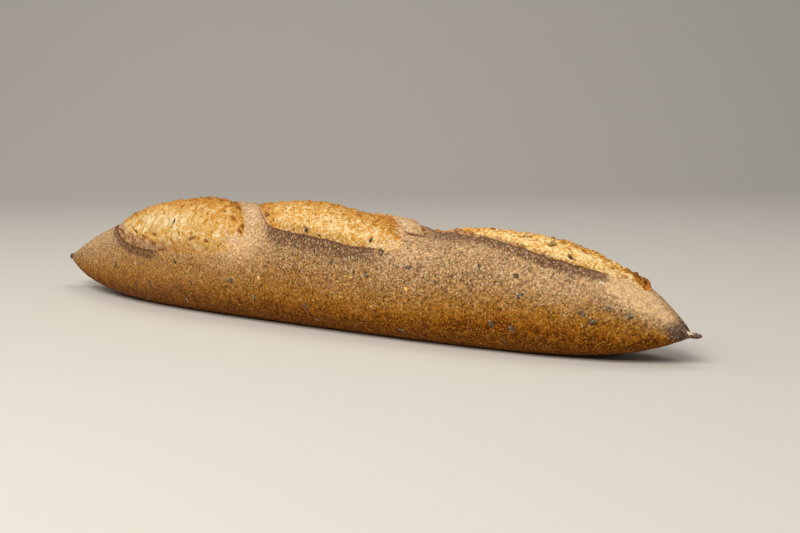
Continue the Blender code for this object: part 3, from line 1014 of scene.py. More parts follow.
@dataclass(frozen=True)
class TornCrumb:
    """Open wheat crumb, torn apart as it baked: cream strands, painted lighter on ridges and darker in
    hollows as light and shade, toasted at its edges.
    """

    name: str = "torn_wheat_crumb"
    cream: str = "#E8D8B0"
    straw: str = "#D0A860"
    golden: str = "#BC7F28"
    amber: str = "#CC8E30"
    toasted: str = "#8A5218"
    hollow_shade: str = "#80501F"
    skin: str = "#CCA478"
    skin_dark: str = "#8E5E3A"
    crusty: str = "#CDAA80"
    fleck: str = "#F6E8CE"
    streak_weight: float = 2.2
    clump_weight: float = 1.2
    grain_weight: float = 1.5
    crumbs_weight: float = 0.8
    golden_weight: float = -1.3
    hole_shade_weight: float = -1.3
    light: Span = Span(2.10, 4.25)
    amber_glow: Span = Span(0.50, 0.60, most=0.40)
    streak_mm: float = 2.7
    streak_length: float = 0.42       # how much slower the streaks change along their length
    streak_distortion: float = 0.6
    clump_mm: float = 5.0
    amber_mm: float = 3.4
    grain_mm: float = 0.95
    crumbs_mm: float = 1.25
    skin_clumps: Span = Span(0.40, 0.52)
    skin_shade: Span = Span(0.35, 0.65, 0.62, 1.40)
    band_edge: Ragged = Ragged(1.8, 0.85)
    flour_edge: Ragged = Ragged(0.9, 0.9)
    flecks: Dots = Dots(1.5, 0.15, 0.48, 0.6)
    # dots of painted shade in the crumb's small holes
    holes: Dots = Dots(2.1, 0.06, 0.34, 0.55)
    streak_height: float = 1.6
    roughness: float = 0.8
    specular: float = 0.20
    bump_strength: float = 1.0
    grain_depth_mm: float = 0.40

    def material(self) -> bpy.types.Material:
        """Build the crumb's material."""
        recipe = Recipe(self.name)
        place, shares = recipe.add("TexCoord", out="Object"), recipe.shares(CRUMB_SHARES)
        stretch = (1.0, self.streak_length, self.streak_length)
        across = recipe.add("VectorMath", {0: place, 1: stretch}, operation="MULTIPLY")
        streak = recipe.add("TexNoise", uneven(across, self.streak_mm, 4, self.streak_distortion))
        clump, grain, amber = (recipe.add("TexNoise", uneven(place, size_mm, detail)) for size_mm, detail in (
            (self.clump_mm, 3), (self.grain_mm, 2), (self.amber_mm, 3)))
        crumbs = recipe.add("TexVoronoi", {"Vector": place, "Scale": grain_scale(self.crumbs_mm)}, "Color")
        flecks, holes = (dots.add(recipe, place) for dots in (self.flecks, self.holes))

        # Ridges stay cream as painted highlight, hollows and holes turn golden as painted shade, and the
        # golden share, toast with painted shade towards the back, turns it golden too.
        light = shares[Share.RIDGE]
        for pattern, weight in ((streak, self.streak_weight), (clump, self.clump_weight),
                                (grain, self.grain_weight), (crumbs, self.crumbs_weight),
                                (shares[Share.GOLDEN], self.golden_weight), (holes, self.hole_shade_weight)):
            light = recipe.add("Math", {0: pattern, 1: weight, 2: light}, operation="MULTIPLY_ADD")
        colour = recipe.add("ValToRGB", {"Fac": recipe.add("MapRange", self.light.of(light))}, stops=(
            (0.05, self.toasted), (0.32, self.golden), (0.58, self.straw), (0.90, self.cream)))
        glow = recipe.add("MapRange", self.amber_glow.of(amber))

        # The strip inside a lip had time to form a skin: rosy brown, darkest along its ragged upper edge.
        clumped = recipe.add("MapRange", self.skin_clumps.of(clump))
        tan = recipe.layered(self.skin_dark, ((clumped, self.skin),))
        shade = recipe.add("MapRange", self.skin_shade.of(grain), clamp=False)
        skin, crusty = (recipe.add("VectorMath", {0: base, "Scale": shade}, operation="SCALE")
                        for base in (tan, linear(self.crusty)[:3]))
        crusty = recipe.layered(crusty, ((flecks, self.fleck),))
        # Amber glow, the skin, painted shade in the pockets and bubbles, and torn crust where flour lies.
        colour = recipe.layered(colour, (
            (glow, self.amber), (self.band_edge.add(recipe, shares[Share.BAND], streak), skin),
            (shares[Share.POCKET], self.hollow_shade),
            (self.flour_edge.add(recipe, shares[Share.FLOUR], crumbs), crusty)))
        height = recipe.add("Math", {0: streak, 1: self.streak_height, 2: grain}, operation="MULTIPLY_ADD")
        height = recipe.add("Math", {0: height, 1: holes}, operation="SUBTRACT")
        return recipe.finished(colour, height, self.bump_strength, self.grain_depth_mm, self.roughness,
                               self.specular)


GRAINY_CRUMB = TornCrumb(
    "grainy_wheat_crumb", cream="#EAD4A2", straw="#D2A452", golden="#B47A26", amber="#CE861C",
    streak_weight=1.2, grain_weight=2.2, crumbs_weight=1.5, light=Span(2.35, 4.45),
    amber_glow=Span(0.50, 0.60, most=0.60), streak_length=0.6, amber_mm=2.4)
BROKEN_CRUMB = TornCrumb(
    "broken_wheat_crumb", cream="#F0D89C", straw="#D8A64A", golden="#B67620", amber="#CC8018", skin="#B4845A",
    skin_dark="#7C4C2E", hollow_shade="#442812", streak_weight=2.2, grain_weight=2.2, crumbs_weight=1.4,
    light=Span(2.92, 4.50), amber_glow=Span(0.50, 0.60, most=0.60), streak_length=0.6, amber_mm=2.6)


@dataclass(frozen=True)
class SeedCoat:
    """A seed's hard coat, dulled by dough that dried on it."""

    name: str
    coat: str
    dusty: str
    dust: Span
    roughness: float
    dust_mm: float = 1.6
    bump_strength: float = 0.5
    wrinkle_mm: float = 0.1

    def material(self) -> bpy.types.Material:
        """Build the seed's material."""
        recipe = Recipe(self.name)
        place = recipe.add("TexCoord", out="Object")
        dust = recipe.add("TexNoise", {"Vector": place, "Scale": grain_scale(self.dust_mm), "Detail": 3.0})
        colour = recipe.layered(self.coat, ((recipe.add("MapRange", self.dust.of(dust)), self.dusty),))
        return recipe.finished(colour, dust, self.bump_strength, self.wrinkle_mm, self.roughness)


LINSEED_COAT = SeedCoat("linseed_coat", "#4A3624", "#B59E74", Span(0.48, 0.64, most=0.7), 0.70)
GRAIN_COAT = SeedCoat("toasted_grain", "#D9A544", "#EBCB85", Span(0.50, 0.66, most=0.7), 0.50)


# --- crust ------------------------------------------------------------------------------------------------

@dataclass
class Crust:
    """The loaf's crust: one closed skin that runs on under the crumb in the slashes."""

    relief: Relief
    finish: BakedCrust = BakedCrust()
    ring_step: float = 0.00088
    left_tip_rings: int = 62
    right_tip_rings: int = 34
    tip_crowding: float = 1.35
    front_lanes: int = 60
    back_lanes: int = 44
    inner_lanes: int = 46
    base_lanes: int = 6
    base_angle: float = 152.0
    lip_lanes: tuple[float, ...] = (0.05, 0.45, 1.1, 2.0, 3.2)
    edge_lanes: tuple[float, ...] = (0.05, 0.5, 1.3, 2.6)
    foot_lanes: tuple[float, ...] = (0.45, 1.2)
    least_reach: float = 0.45
    blister_mm: float = 5.0
    blister_height: float = 0.00020
    pimple_mm: float = 2.1
    pimple_height: float = 0.00013
    pale_patches: tuple[Patch, ...] = (
        Patch(-0.0530, 12, 0.0090, 26, 0.40), Patch(-0.0600, 50, 0.0140, 22, 0.65),
        Patch(-0.0760, 68, 0.0180, 14, 0.45), Patch(0.0660, 2, 0.0100, 20, 0.75),
        Patch(0.1950, 32, 0.0250, 24, 1.4), Patch(0.2130, 14, 0.0120, 34, 0.9),
        Patch(-0.2000, 40, 0.0170, 40, 0.25), Patch(0.0600, 44, 0.0200, 12, 0.30),
        Patch(-0.1350, 85, 0.0600, 32, 0.16), Patch(0.1400, 60, 0.0250, 16, 0.25),
        Patch(-0.0530, -40, 0.0080, 30, 0.6), Patch(0.0700, -45, 0.0080, 26, 0.5))
    scorch_patches: tuple[Patch, ...] = (
        Patch(0.0900, 16, 0.0140, 16, 0.85), Patch(0.1790, 33, 0.0060, 4, 0.5),
        Patch(-0.0380, 54, 0.0080, 6, 0.40), Patch(0.2210, 80, 0.0110, 40, 0.75))
    edge_patches: tuple[Patch, ...] = (
        Patch(0.0772, 0, 0.0011, 14, 0.9), Patch(0.0772, -30, 0.0011, 16, 0.7),
        Patch(0.0860, -2, 0.0040, 3, 0.4), Patch(-0.0385, 43, 0.0060, 4.5, 1.0))
    scorch_inside: float = 0.002       # how far inside the outline a slash's scorch begins
    scorch_fades: tuple[float, float] = (0.16, 0.35)
    scorch_early: float = 0.10         # how much earlier it fades than the burnt line on the lip
    lip_line_fades: tuple[float, float] = (0.12, 0.30)
    lip_line_width: float = 0.0009
    lip_line_core: float = 0.4
    right_burn: float = 0.020
    left_burn: float = 0.011
    full_burn: float = 0.4             # share of a burnt stretch that is wholly burnt
    burn_front: float = 0.2            # the most burnt side of the right tip faces this far up
    burn_slant: float = 0.003          # and how much less far along the other sides are burnt
    collar_inset: float = 0.0058
    collar_width: float = 0.0011
    collar_flour: float = 0.35
    crown_from: float = -0.75          # the crown's share begins where the skin faces this far down
    tray_height: float = 0.0030
    tray_angle: float = 130
    edge_depth: float = 0.0006
    thin_reach: float = 0.012          # how far from the tips the blisters are lower
    # Patches of painted shade, where the crust is drawn darker low on the front.
    painted_shade_patches: tuple[Patch, ...] = (
        Patch(0.1150, 104, 0.0500, 26, 0.18), Patch(0.1750, 78, 0.0300, 18, 0.16),
        Patch(-0.1500, 92, 0.0450, 26, 0.12))
    flour_patches: tuple[Patch, ...] = (
        Patch(0.1770, 40, 0.0028, 2.2, 0.7), Patch(0.1970, 12, 0.0050, 2.2, 0.6),
        Patch(-0.0540, 24, 0.0070, 26, 0.36), Patch(-0.1600, 88, 0.0030, 3.0, 0.5),
        Patch(0.0640, 6, 0.0080, 12, 0.35), Patch(0.2300, 40, 0.0040, 30, 0.45))

    def stations(self) -> list[float]:
        """Return the rings' stations, with rings on each slash's ends."""
        tip, slashes = self.relief.form.half_length, self.relief.slashes
        first, last = slashes[0].start, slashes[-1].end
        result = [mix(-tip, first, (step / self.left_tip_rings) ** self.tip_crowding)
                  for step in range(self.left_tip_rings)]
        for slash, following in zip(slashes, (*slashes[1:], None)):
            result += spread(slash.start, slash.end, round((slash.end - slash.start) / self.ring_step))
            if following:
                gap = following.start - slash.end
                result += spread(slash.end, following.start, round(gap / self.ring_step))
        return result + [mix(tip, last, (step / self.right_tip_rings) ** self.tip_crowding)
                         for step in range(self.right_tip_rings, -1, -1)]

    def slash_guide(self, slash: Slash, station: float) -> tuple[float, float]:
        """Return the angles of the lip and of the back edge."""
        reach = max(slash.outline_reach(slash.share(station)), self.least_reach)
        front, back = slash.reaches(station)
        return slash.axis(station) + front * reach, slash.axis(station) - back * reach

    def guide(self, station: float) -> tuple[float, float]:
        """Return the same two angles at any station, blended across the crust between slashes."""
        slashes = self.relief.slashes
        left = [slash for slash in slashes if slash.start <= station] or [slashes[0]]
        right = [slash for slash in slashes if slash.end >= station] or [slashes[-1]]
        before, after = left[-1], right[0]
        if before is after:
            return self.slash_guide(before, clamp(station, before.start, before.end))
        share = smooth_step(before.end, after.start, station)
        lips = zip(self.slash_guide(before, before.end), self.slash_guide(after, after.start))
        lip, edge = (mix(first, second, share) for first, second in lips)
        return lip, edge

    def lane_angles(self, station: float) -> list[float]:
        """Return the lanes' angles, from the underside up the front, over the crown and down the back."""
        lip, edge = self.guide(station)
        foot, heel = lip - self.foot_lanes[-1], edge + self.foot_lanes[-1]
        front_from, back_from = lip + self.lip_lanes[-1], edge - self.edge_lanes[-1]
        base = self.base_angle
        return (spread(180, base, self.base_lanes) + spread(base, front_from, self.front_lanes)
                + [lip + off for off in self.lip_lanes[::-1]] + [lip - off for off in self.foot_lanes]
                + spread(foot, heel, self.inner_lanes)[1:] + [edge + off for off in self.foot_lanes[::-1]]
                + [edge - off for off in self.edge_lanes[:-1]]
                + spread(back_from, -base, self.back_lanes) + spread(-base, -180, self.base_lanes))

    def blisters(self, point: Vector) -> float:
        """Return the height of the crust's blisters and pimples."""
        blister = abs(ripple(point, self.blister_mm * MILLIMETRE, 1))
        pimple = ripple(point, self.pimple_mm * MILLIMETRE, 2)
        return self.blister_height * (2 * blister - 0.5) + self.pimple_height * pimple

    def scorch(self, slash: Slash, spot: Whereabouts) -> float:
        """Return how scorched the crust is below a slash's lip."""
        if spot.across <= 0 or spot.away < -self.scorch_inside:
            return 0.0
        fade_in, fade_out = self.scorch_fades
        lengthways = window(spot.along, slash.scorch_from, fade_in, slash.scorch_to - self.scorch_early,
                            fade_out)
        return slash.scorch * lengthways * exp(-(max(spot.away, 0) / slash.scorch_width) ** 2)

    def lip_line(self, slash: Slash, spot: Whereabouts) -> float:
        """Return how much of the dark line along a slash's lip a place has: burnt, and partly painted shade
        under the lip's edge.
        """
        if spot.across <= 0:
            return 0.0
        fade_in, fade_out = self.lip_line_fades
        return (window(spot.along, slash.scorch_from, fade_in, slash.scorch_to, fade_out)
                * (1 - smooth_step(self.lip_line_core, 1.0, abs(spot.away) / self.lip_line_width)))

    def burn(self, x: float, outward: Vector) -> float:
        """Return how burnt the tips are: the right one most at the front, the left one on its nub."""
        half = self.relief.form.half_length
        askew = self.burn_slant * abs(outward.z - self.burn_front)
        right, left = (smooth_step(half - reach, half - self.full_burn * reach, place) for reach, place in (
            (self.right_burn, x - askew), (self.left_burn, -x)))
        return clamp(right + left - self.collar(x))

    def collar(self, x: float) -> float:
        """Return how much of the pale collar behind the right nub a place has."""
        return exp(-((x - (self.relief.form.half_length - self.collar_inset)) / self.collar_width) ** 2)

    def build(self) -> bpy.types.Object:
        """Build the crust.

        Returns:
            The piece.
        """
        stations = self.stations()
        lanes = [self.lane_angles(station) for station in stations]
        mesh, layers, places = ball_grid(len(stations) - 1, len(lanes[0]), CRUST_SHARES)
        form = self.relief.form
        for vertex, ring, lane in places:
            station, angle = stations[ring], lanes[ring][lane]
            height, spot, slash = self.relief.crust_height(station, angle)
            point, outward = form.skin(station, angle - self.relief.lean(slash, station, spot))
            thin = smooth_step(0, self.thin_reach, form.half_length - abs(point.x))
            depth, crease = self.relief.creased(station, angle)
            point += outward * (height - depth + self.blisters(point) * thin)
            point.z = max(point.z, 0.0)
            vertex.co = point
            baked = smooth_step(self.tray_height, 0.0, point.z) if abs(angle) > self.tray_angle else 0.0
            kept = {
                Share.CROWN: (smooth_step(self.crown_from, 1.0, outward.z)
                              - patched(self.painted_shade_patches, station, angle)),
                Share.SCORCH: self.scorch(slash, spot) + patched(self.scorch_patches, station, angle),
                Share.PALE: patched(self.pale_patches, station, angle),
                Share.LIP: self.lip_line(slash, spot),
                Share.POCKET: crease,
                Share.BURN: self.burn(point.x, outward),
                Share.UNDER: baked,
                Share.FLOUR: (patched(self.flour_patches, station, angle)
                              + self.collar_flour * self.collar(point.x)),
                Share.EDGE: (smooth_step(0.0, -self.edge_depth, spot.away)
                             + patched(self.edge_patches, station, angle))}
            for share, value in kept.items():
                vertex[layers[share]] = clamp(value)
        piece = loaf_piece(mesh, "crust", self.finish.material(), Slot.CRUST)
        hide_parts(NODE)
        return piece


# --- crumb ------------------------------------------------------------------------------------------------

@dataclass
class Crumb:
    """The crumb that swells out of one slash: a torn top, closed by a plain base inside the loaf."""

    relief: Relief
    slash: Slash
    material: bpy.types.Material
    ring_step: float = 0.00052
    top_lanes: int = 112
    base_lanes: int = 8
    overlap_across: float = 1.03
    overlap_along: float = 1.010
    end_crowding: float = 0.35
    base_depth: float = 0.0075
    closed: float = 0.96               # how far across its base reaches
    toast_across: tuple[float, float] = (0.55, -0.45)
    toast_and_shade_behind: float = 0.65
    toast_ends: tuple[float, float] = (0.80, 1.0)
    toast_endwards: float = 0.28
    band_fades: tuple[float, float] = (0.2, 0.35)
    band_raggedness: float = 0.45
    band_ragged_length: float = 0.011
    band_narrowing: tuple[float, float] = (-0.6, 0.4)
    band_narrowed: float = 0.6
    band_edge: tuple[float, float] = (0.45, 1.25)
    toasted_patches: tuple[Patch, ...] = (
        Patch(0.2080, -16, 0.0060, 11, 1.3), Patch(0.2060, 12, 0.0080, 12, -0.9),
        Patch(-0.0410, 26, 0.0050, 14, 0.30), Patch(-0.0660, 30, 0.0080, 16, 0.08),
        Patch(0.0500, 18, 0.0090, 14, 0.35), Patch(-0.1350, 44, 0.0250, 16, -0.30),
        Patch(0.0200, 36, 0.0300, 12, -0.3), Patch(0.1600, 23, 0.0420, 12, -1.0))
    flour_patches: tuple[Patch, ...] = (
        Patch(-0.0700, 62, 0.0110, 12, 0.9), Patch(0.0500, 38, 0.0120, 10, 0.6),
        Patch(0.0600, 24, 0.0045, 18, 0.8), Patch(0.2000, 16, 0.0080, 10, 0.9))

    def golden(self, spot: Whereabouts, station: float, angle: float) -> float:
        """Return how golden the crumb is: toasted, most at the slash's ends and over the crown, where part of
        it is painted shade.
        """
        backwards = self.toast_and_shade_behind * smooth_step(*self.toast_across, spot.across)
        endwards = self.toast_endwards * smooth_step(*self.toast_ends, abs(spot.along))
        return clamp(self.slash.toast + backwards + endwards + sum(
            patch.at(station, angle) for patch in self.toasted_patches))

    def band(self, spot: Whereabouts, station: float, angle: float) -> float:
        """Return how much of the skinned strip inside the lip a place has."""
        if spot.across <= 0:
            return 0.0
        slash, (fade_in, fade_out), (whole, gone) = self.slash, self.band_fades, self.band_edge
        ragged = 1 + self.band_raggedness * ripple(ragged_place(station, angle), self.band_ragged_length, 4)
        narrowing = mix(1.0, self.band_narrowed, smooth_step(*self.band_narrowing, spot.along))
        width = slash.band_width * ragged * narrowing
        return (window(spot.along, slash.band_from, fade_in, slash.band_to, fade_out)
                * (1 - smooth_step(whole * width, gone * width, -spot.away)))

    def build(self) -> bpy.types.Object:
        """Build the crumb.

        Returns:
            The piece.
        """
        slash = self.slash
        rings = round((slash.end - slash.start) / self.ring_step)
        steps = [2 * ring / rings - 1 for ring in range(rings + 1)]
        shares = [self.overlap_along * mix(step, sin(step * pi / 2), self.end_crowding) for step in steps]
        mesh, layers, places = ball_grid(rings, self.top_lanes + self.base_lanes, CRUMB_SHARES)
        half, middle = (slash.end - slash.start) / 2, (slash.end + slash.start) / 2
        for vertex, ring, lane in places:
            station = middle + half * shares[ring]
            on_top = lane < self.top_lanes
            if on_top:
                across = mix(1, -1, lane / (self.top_lanes - 1))
            else:
                across = mix(-1, 1, (lane - self.top_lanes + 1) / (self.base_lanes + 1)) * self.closed
            reach = slash.outline_reach(shares[ring] / self.overlap_along) * self.overlap_across
            front, back = slash.reaches(station)
            angle = slash.axis(station) + across * reach * (front if across > 0 else back)
            spot = slash.find(station, angle, self.relief.form.half_width)
            height, ridge, pocket = self.relief.crumb_height(slash, station, angle)
            if not on_top:
                height -= self.base_depth * reach
            point, outward = self.relief.form.skin(station, angle)
            vertex.co = point + outward * height
            kept = {Share.RIDGE: ridge, Share.GOLDEN: self.golden(spot, station, angle), Share.POCKET: pocket,
                    Share.BAND: self.band(spot, station, angle),
                    Share.FLOUR: patched(self.flour_patches, station, angle)}
            for share, value in kept.items():
                vertex[layers[share]] = value
        return loaf_piece(mesh, f"crumb_{slash.name}", self.material, Slot.CRUMB)


# --- seeds ------------------------------------------------------------------------------------------------

class Lie(NamedTuple):
    """How a seed lies: its place on the loaf, its turn and its size."""

    station: float
    angle: float
    turn: float          # degrees from lengthways, anticlockwise seen from outside
    size: float = 1.0


@dataclass
class Seeds:
    """One kind of seed, strewn over the loaf: a flat oval that narrows to a point."""

    relief: Relief
    name: str
    coat: SeedCoat
    length: float
    width: float
    thickness: float
    sink: float
    lanes: int = 10
    rings: int = 8
    point_taper: float = 0.45
    taper_along: tuple[float, float] = (-0.1, 0.5)
    tilt: float = 0.2

    def placed(self, lie: Lie, tilt: float) -> Matrix:
        """Return the matrix that brings a ball of diameter 1 to a seed's form and place."""
        point, outward = self.relief.surface(lie.station, lie.angle)
        lay = outward.to_track_quat("Z", "Y").to_matrix().to_4x4()
        form = Matrix.Diagonal((self.length * lie.size, self.width * lie.size, self.thickness * lie.size, 1))
        return (Matrix.Translation(point - outward * self.sink) @ lay
                @ Matrix.Rotation(radians(lie.turn), 4, "Z") @ Matrix.Rotation(tilt, 4, "Y") @ form)

    def build(self, lies: Sequence[Lie], draw: random.Random) -> bpy.types.Object:
        """Build all the seeds as one piece.

        Args:
            lies: How they lie.
            draw: Tilts each a little.

        Returns:
            The piece.
        """
        mesh = bmesh.new()
        for lie in lies:
            ball = bmesh.ops.create_uvsphere(mesh, u_segments=self.lanes, v_segments=self.rings, radius=0.5)
            placed = self.placed(lie, draw.uniform(-self.tilt, self.tilt))
            for vertex in ball["verts"]:
                y, z, x = vertex.co
                narrowing = 1 - self.point_taper * smooth_step(*self.taper_along, x)
                vertex.co = placed @ Vector((x, y * narrowing, z * narrowing))
        return loaf_piece(mesh, self.name, self.coat.material(), Slot.SEEDS)


@dataclass
class Sowing:
    """Where the seeds lie: as they fell on the side that shows, and strewn by rule over the rest."""

    relief: Relief
    count: int = 84
    spacing: float = 0.011
    clear: float = 0.009
    stations: float = 0.225
    angles: float = 125
    shown_from: float = -25
    draw_number: int = 7
    fallen: tuple[Lie, ...] = (
        Lie(-0.198, 95, 90, 0.7), Lie(-0.180, 90, 90), Lie(-0.160, 110, 110, 0.9), Lie(-0.146, 109, 100),
        Lie(-0.151, 134, 80, 0.8), Lie(-0.123, 83, 130, 0.9), Lie(-0.112, 127, 60),
        Lie(-0.110, 101, 170, 0.9), Lie(-0.110, 115, 70, 0.6), Lie(-0.075, 94, 0, 1.15),
        Lie(-0.068, 99, 80, 0.6), Lie(-0.057, 109, 80, 1.1), Lie(-0.053, 96, 100, 0.8),
        Lie(-0.046, 78, 110, 0.8), Lie(-0.026, 91, 100, 0.6), Lie(-0.021, 60, 150),
        Lie(-0.017, 111, 100, 1.05), Lie(-0.005, 129, 0, 0.9), Lie(0.003, 67, 70, 0.9), Lie(0.026, 72, 130),
        Lie(0.028, 48, 130, 0.9), Lie(0.039, 50, 130), Lie(0.043, 77, 0, 0.6), Lie(0.047, 60, 80, 0.7),
        Lie(0.051, 74, 0, 0.7), Lie(0.051, 126, 160), Lie(0.055, 58, 0), Lie(0.070, 74, 110, 0.7),
        Lie(0.100, 54, 130, 0.9), Lie(0.103, 102, 120), Lie(0.115, 105, 150, 1.1),
        Lie(0.118, 131, 160, 0.8), Lie(0.120, 57, 170), Lie(0.120, 76, 30), Lie(0.140, 78, 0, 0.7),
        Lie(0.155, 81, 140), Lie(0.161, 90, 10, 1.15), Lie(0.172, 68, 150, 0.9), Lie(0.184, 72, 20, 1.05),
        Lie(-0.120, 48, 110), Lie(-0.103, 22, 170, 0.7), Lie(-0.077, 31, 20, 0.8),
        Lie(-0.040, 28, 150, 0.7), Lie(-0.012, 41, 100, 0.9), Lie(0.034, 38, 110, 0.8),
        Lie(-0.004, 44, 10, 0.6), Lie(0.1585, -16, 60, 0.7))
    grains: tuple[Lie, ...] = (
        Lie(-0.054, 91, 120, 1.05), Lie(0.011, 78, 0, 0.6), Lie(0.015, 78, 0, 0.8), Lie(0.063, 48, 0, 0.8),
        Lie(0.051, 80, 140, 0.9), Lie(0.007, 95, 10, 0.6), Lie(0.172, -10, 20), Lie(0.183, -10, 60),
        Lie(-0.130, -60, 40), Lie(0.010, -80, 80), Lie(0.110, -70, 10), Lie(-0.060, -100, 120))

    def strewn(self) -> list[Lie]:
        """Return how seeds lie that are spread evenly, by drawing at random and keeping what has room."""
        draw = random.Random(self.draw_number)
        form = self.relief.form
        kept: list[tuple[Lie, Vector]] = []
        while len(kept) < self.count:
            station = draw.uniform(-self.stations, self.stations)
            angle = draw.uniform(-self.angles, self.angles)
            lie = Lie(station, angle, draw.uniform(0, 180))
            spot = self.relief.nearest(station).find(station, angle, form.half_width)
            here = form.skin(station, angle)[0]
            has_room = all((here - other).length > self.spacing for _, other in kept)
            if has_room and abs(spot.away) >= self.clear:
                kept.append((lie, here))
        return [lie for lie, _ in kept if lie.angle < self.shown_from]

    def linseeds(self) -> list[Lie]:
        """Return how all the linseeds lie."""
        return self.strewn() + list(self.fallen)


# --- torn bits --------------------------------------------------------------------------------------------

class Bit(NamedTuple):
    """Where a small lump of torn crumb stands, and how large it is."""

    station: float
    angle: float
    size: float
    toasted: float


@dataclass
class TornBits:
    """Small lumps and flakes of crumb that stand on the torn edges, as one piece."""

    relief: Relief
    material: bpy.types.Material
    detail: int = 3
    flatness: float = 0.75
    unevenness: float = 0.35
    lump_size: float = 0.0012
    bits: tuple[Bit, ...] = (
        Bit(0.0782, 2, 0.0030, 0.9), Bit(0.0776, 9, 0.0022, 1.0), Bit(0.0770, -6, 0.0024, 0.8),
        Bit(0.1620, -10, 0.0022, 1.0), Bit(0.1715, -6, 0.0024, 0.2), Bit(0.1850, -8, 0.0026, 0.5),
        Bit(0.2030, -16, 0.0022, 1.0), Bit(0.2070, -14, 0.0024, 1.0), Bit(0.2095, -20, 0.0024, 1.0),
        Bit(0.2100, -4, 0.0020, 0.6), Bit(-0.1620, 18, 0.0016, 0.9), Bit(0.1250, -6, 0.0016, 0.8))

    def build(self) -> bpy.types.Object:
        """Build the bits.

        Returns:
            The piece.
        """
        mesh = bmesh.new()
        layers = {share: mesh.verts.layers.float.new(share.value) for share in CRUMB_SHARES}
        for bit in self.bits:
            point, outward = self.relief.surface(bit.station, bit.angle)
            lay = Matrix.Translation(point) @ outward.to_track_quat("Z", "Y").to_matrix().to_4x4()
            fresh = bmesh.ops.create_icosphere(mesh, subdivisions=self.detail, radius=0.5)["verts"]
            for vertex in fresh:
                swell = 1 + self.unevenness * ripple(vertex.co * bit.size + point, self.lump_size, 12)
                x, y, z = vertex.co * bit.size * swell
                vertex.co = lay @ Vector((x, y, z * self.flatness))
                vertex[layers[Share.RIDGE]] = 0.5
                vertex[layers[Share.GOLDEN]] = bit.toasted
        return loaf_piece(mesh, "torn_bits", self.material, Slot.CRUMB)


# --- studio -----------------------------------------------------------------------------------------------

@dataclass(frozen=True)
class Lamp:
    """A softbox: where it stands, what it points at, how large and how bright it is."""

    name: str
    stand: tuple[float, float, float]
    size: float
    watts: float
    colour: str
    aim: tuple[float, float, float] = (0.0, 0.0, 0.03)

    def build(self) -> None:
        """Hang the lamp and point it."""
        data = bpy.data.lights.new(self.name, "AREA")
        data.shape = "SQUARE"
        data.size = self.size
        data.energy = self.watts
        data.color = linear(self.colour)[:3]
        lamp = in_scene(self.name, data)
        lamp.location = self.stand
        lamp.rotation_euler = (Vector(self.aim) - Vector(self.stand)).to_track_quat("-Z", "Y").to_euler()


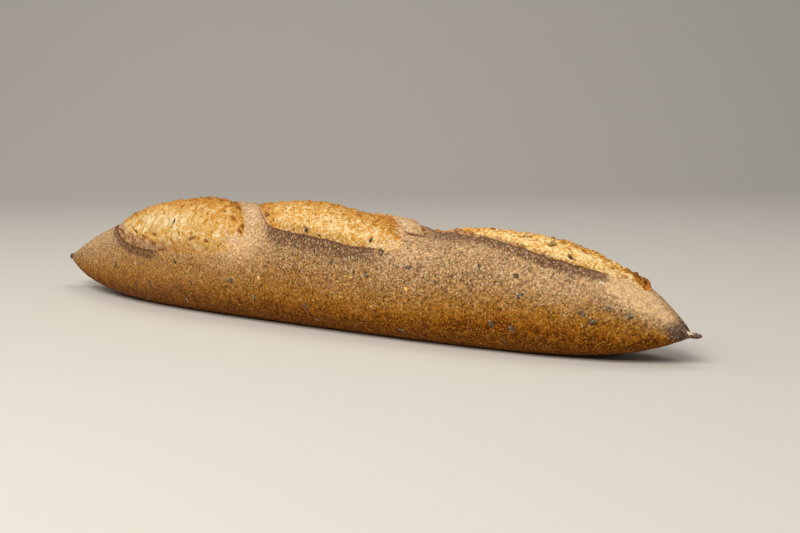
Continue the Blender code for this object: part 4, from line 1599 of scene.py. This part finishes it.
@dataclass
class Studio:
    """A pale paper sweep, soft lamps and the camera at the photographed angle."""

    tip_y: float
    azimuth: float = 40.0285
    pitch: float = 7.4745
    roll: float = -0.7343
    stand: tuple[float, float, float] = (0.5483, -0.5873, 0.1346)     # from the line between the tips
    lens_mm: float = 63.0
    sensor_mm: float = 36.0
    paper: str = "#CFCCC6"
    paper_roughness: float = 0.9
    sky: str = "#F3F1ED"
    sky_strength: float = 0.25
    sweep_half: float = 2.4
    sweep_folds: int = 48
    sweep_bend_from: float = 0.9
    sweep_radius: float = 0.6
    lamps: tuple[Lamp, ...] = (
        Lamp("key", (0.22, -0.84, 0.95), 0.80, 15.5, "#FFF9F0"),
        Lamp("top", (-0.15, 0.30, 1.05), 0.70, 3.0, "#FFF8F0"),
        Lamp("side", (-0.95, -0.45, 0.60), 0.70, 2.0, "#FFFAF4"))

    def camera(self) -> None:
        """Set up the camera."""
        turn, down, tilt = radians(self.azimuth), radians(self.pitch), radians(self.roll)
        ahead = Vector((-sin(turn) * cos(down), cos(turn) * cos(down), -sin(down)))
        level = Vector((cos(turn), sin(turn), 0))
        upright = level.cross(ahead)
        right = level * cos(tilt) + upright * sin(tilt)
        up = upright * cos(tilt) - level * sin(tilt)
        data = bpy.data.cameras.new("camera")
        data.lens, data.sensor_width = self.lens_mm, self.sensor_mm
        camera = in_scene("camera", data)
        stand = Vector(self.stand) + Vector((0, self.tip_y, 0))
        camera.matrix_world = Matrix.Translation(stand) @ Matrix((right, up, -ahead)).transposed().to_4x4()
        bpy.context.scene.camera = camera

    def sweep(self) -> None:
        """Lay the pale paper: flat under the loaf, bent up behind it."""
        turn = radians(self.azimuth)
        away = Vector((-sin(turn), cos(turn), 0))
        sideways = Vector((cos(turn), sin(turn), 0))
        mesh = bmesh.new()
        bmesh.ops.create_grid(mesh, x_segments=2, y_segments=self.sweep_folds, size=self.sweep_half)
        for vertex in mesh.verts:
            run = vertex.co.y - self.sweep_bend_from
            bend = clamp(run / self.sweep_radius, 0, pi / 2)
            ahead = min(vertex.co.y, self.sweep_bend_from) + self.sweep_radius * sin(bend)
            rise = self.sweep_radius * (1 - cos(bend)) + max(run - self.sweep_radius * pi / 2, 0)
            vertex.co = sideways * vertex.co.x + away * ahead + Vector((0, 0, rise))
        recipe = Recipe("matt_paper")
        recipe.shader.inputs["Base Color"].default_value = linear(self.paper)
        recipe.shader.inputs["Roughness"].default_value = self.paper_roughness
        smooth_object(mesh, "paper_sweep", recipe.material)

    def light(self) -> None:
        """Hang the lamps and give the room its even light."""
        for lamp in self.lamps:
            lamp.build()
        world = bpy.data.worlds.new("studio")
        world.use_nodes = True
        room = world.node_tree.nodes["Background"]
        room.inputs["Color"].default_value = linear(self.sky)
        room.inputs["Strength"].default_value = self.sky_strength
        bpy.context.scene.world = world
        bpy.context.scene.view_settings.view_transform = "Standard"

    def build(self) -> None:
        """Set up everything round the loaf."""
        self.camera()
        self.sweep()
        self.light()


# --- put together -----------------------------------------------------------------------------------------

def loaf_form() -> LoafForm:
    """Return the loaf's form, with its length and the place of its tips read from the solid."""
    low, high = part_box(NODE)
    tip = min((vertex.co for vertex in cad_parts[NODE].data.vertices), key=lambda place: place.x)
    return LoafForm(length=high[0] - low[0], tip_y=tip.y)


def report(piece: bpy.types.Object) -> None:
    """Log a piece's name and size."""
    LOG.info("%s: %d faces", piece.name, len(piece.data.polygons))


def main() -> None:
    """Build the loaf and the studio."""
    logging.basicConfig(level=logging.INFO, format="%(name)s: %(message)s")
    relief = Relief(loaf_form())
    Studio(relief.form.tip_y).build()
    report(Crust(relief).build())
    stretched = TornCrumb().material()
    for slash, crumb in zip(relief.slashes, (stretched, GRAINY_CRUMB.material(), BROKEN_CRUMB.material())):
        report(Crumb(relief, slash, crumb).build())
    report(TornBits(relief, stretched).build())
    sowing = Sowing(relief)
    linseeds = Seeds(relief, "linseeds", LINSEED_COAT, length=0.0057, width=0.0029, thickness=0.0017,
                     sink=0.0004)
    report(linseeds.build(sowing.linseeds(), random.Random(21)))
    grains = Seeds(relief, "golden_grains", GRAIN_COAT, length=0.0034, width=0.0021, thickness=0.0013,
                   sink=0.0001, point_taper=0.30)
    report(grains.build(sowing.grains, random.Random(22)))


if __name__ == "__main__":
    main()
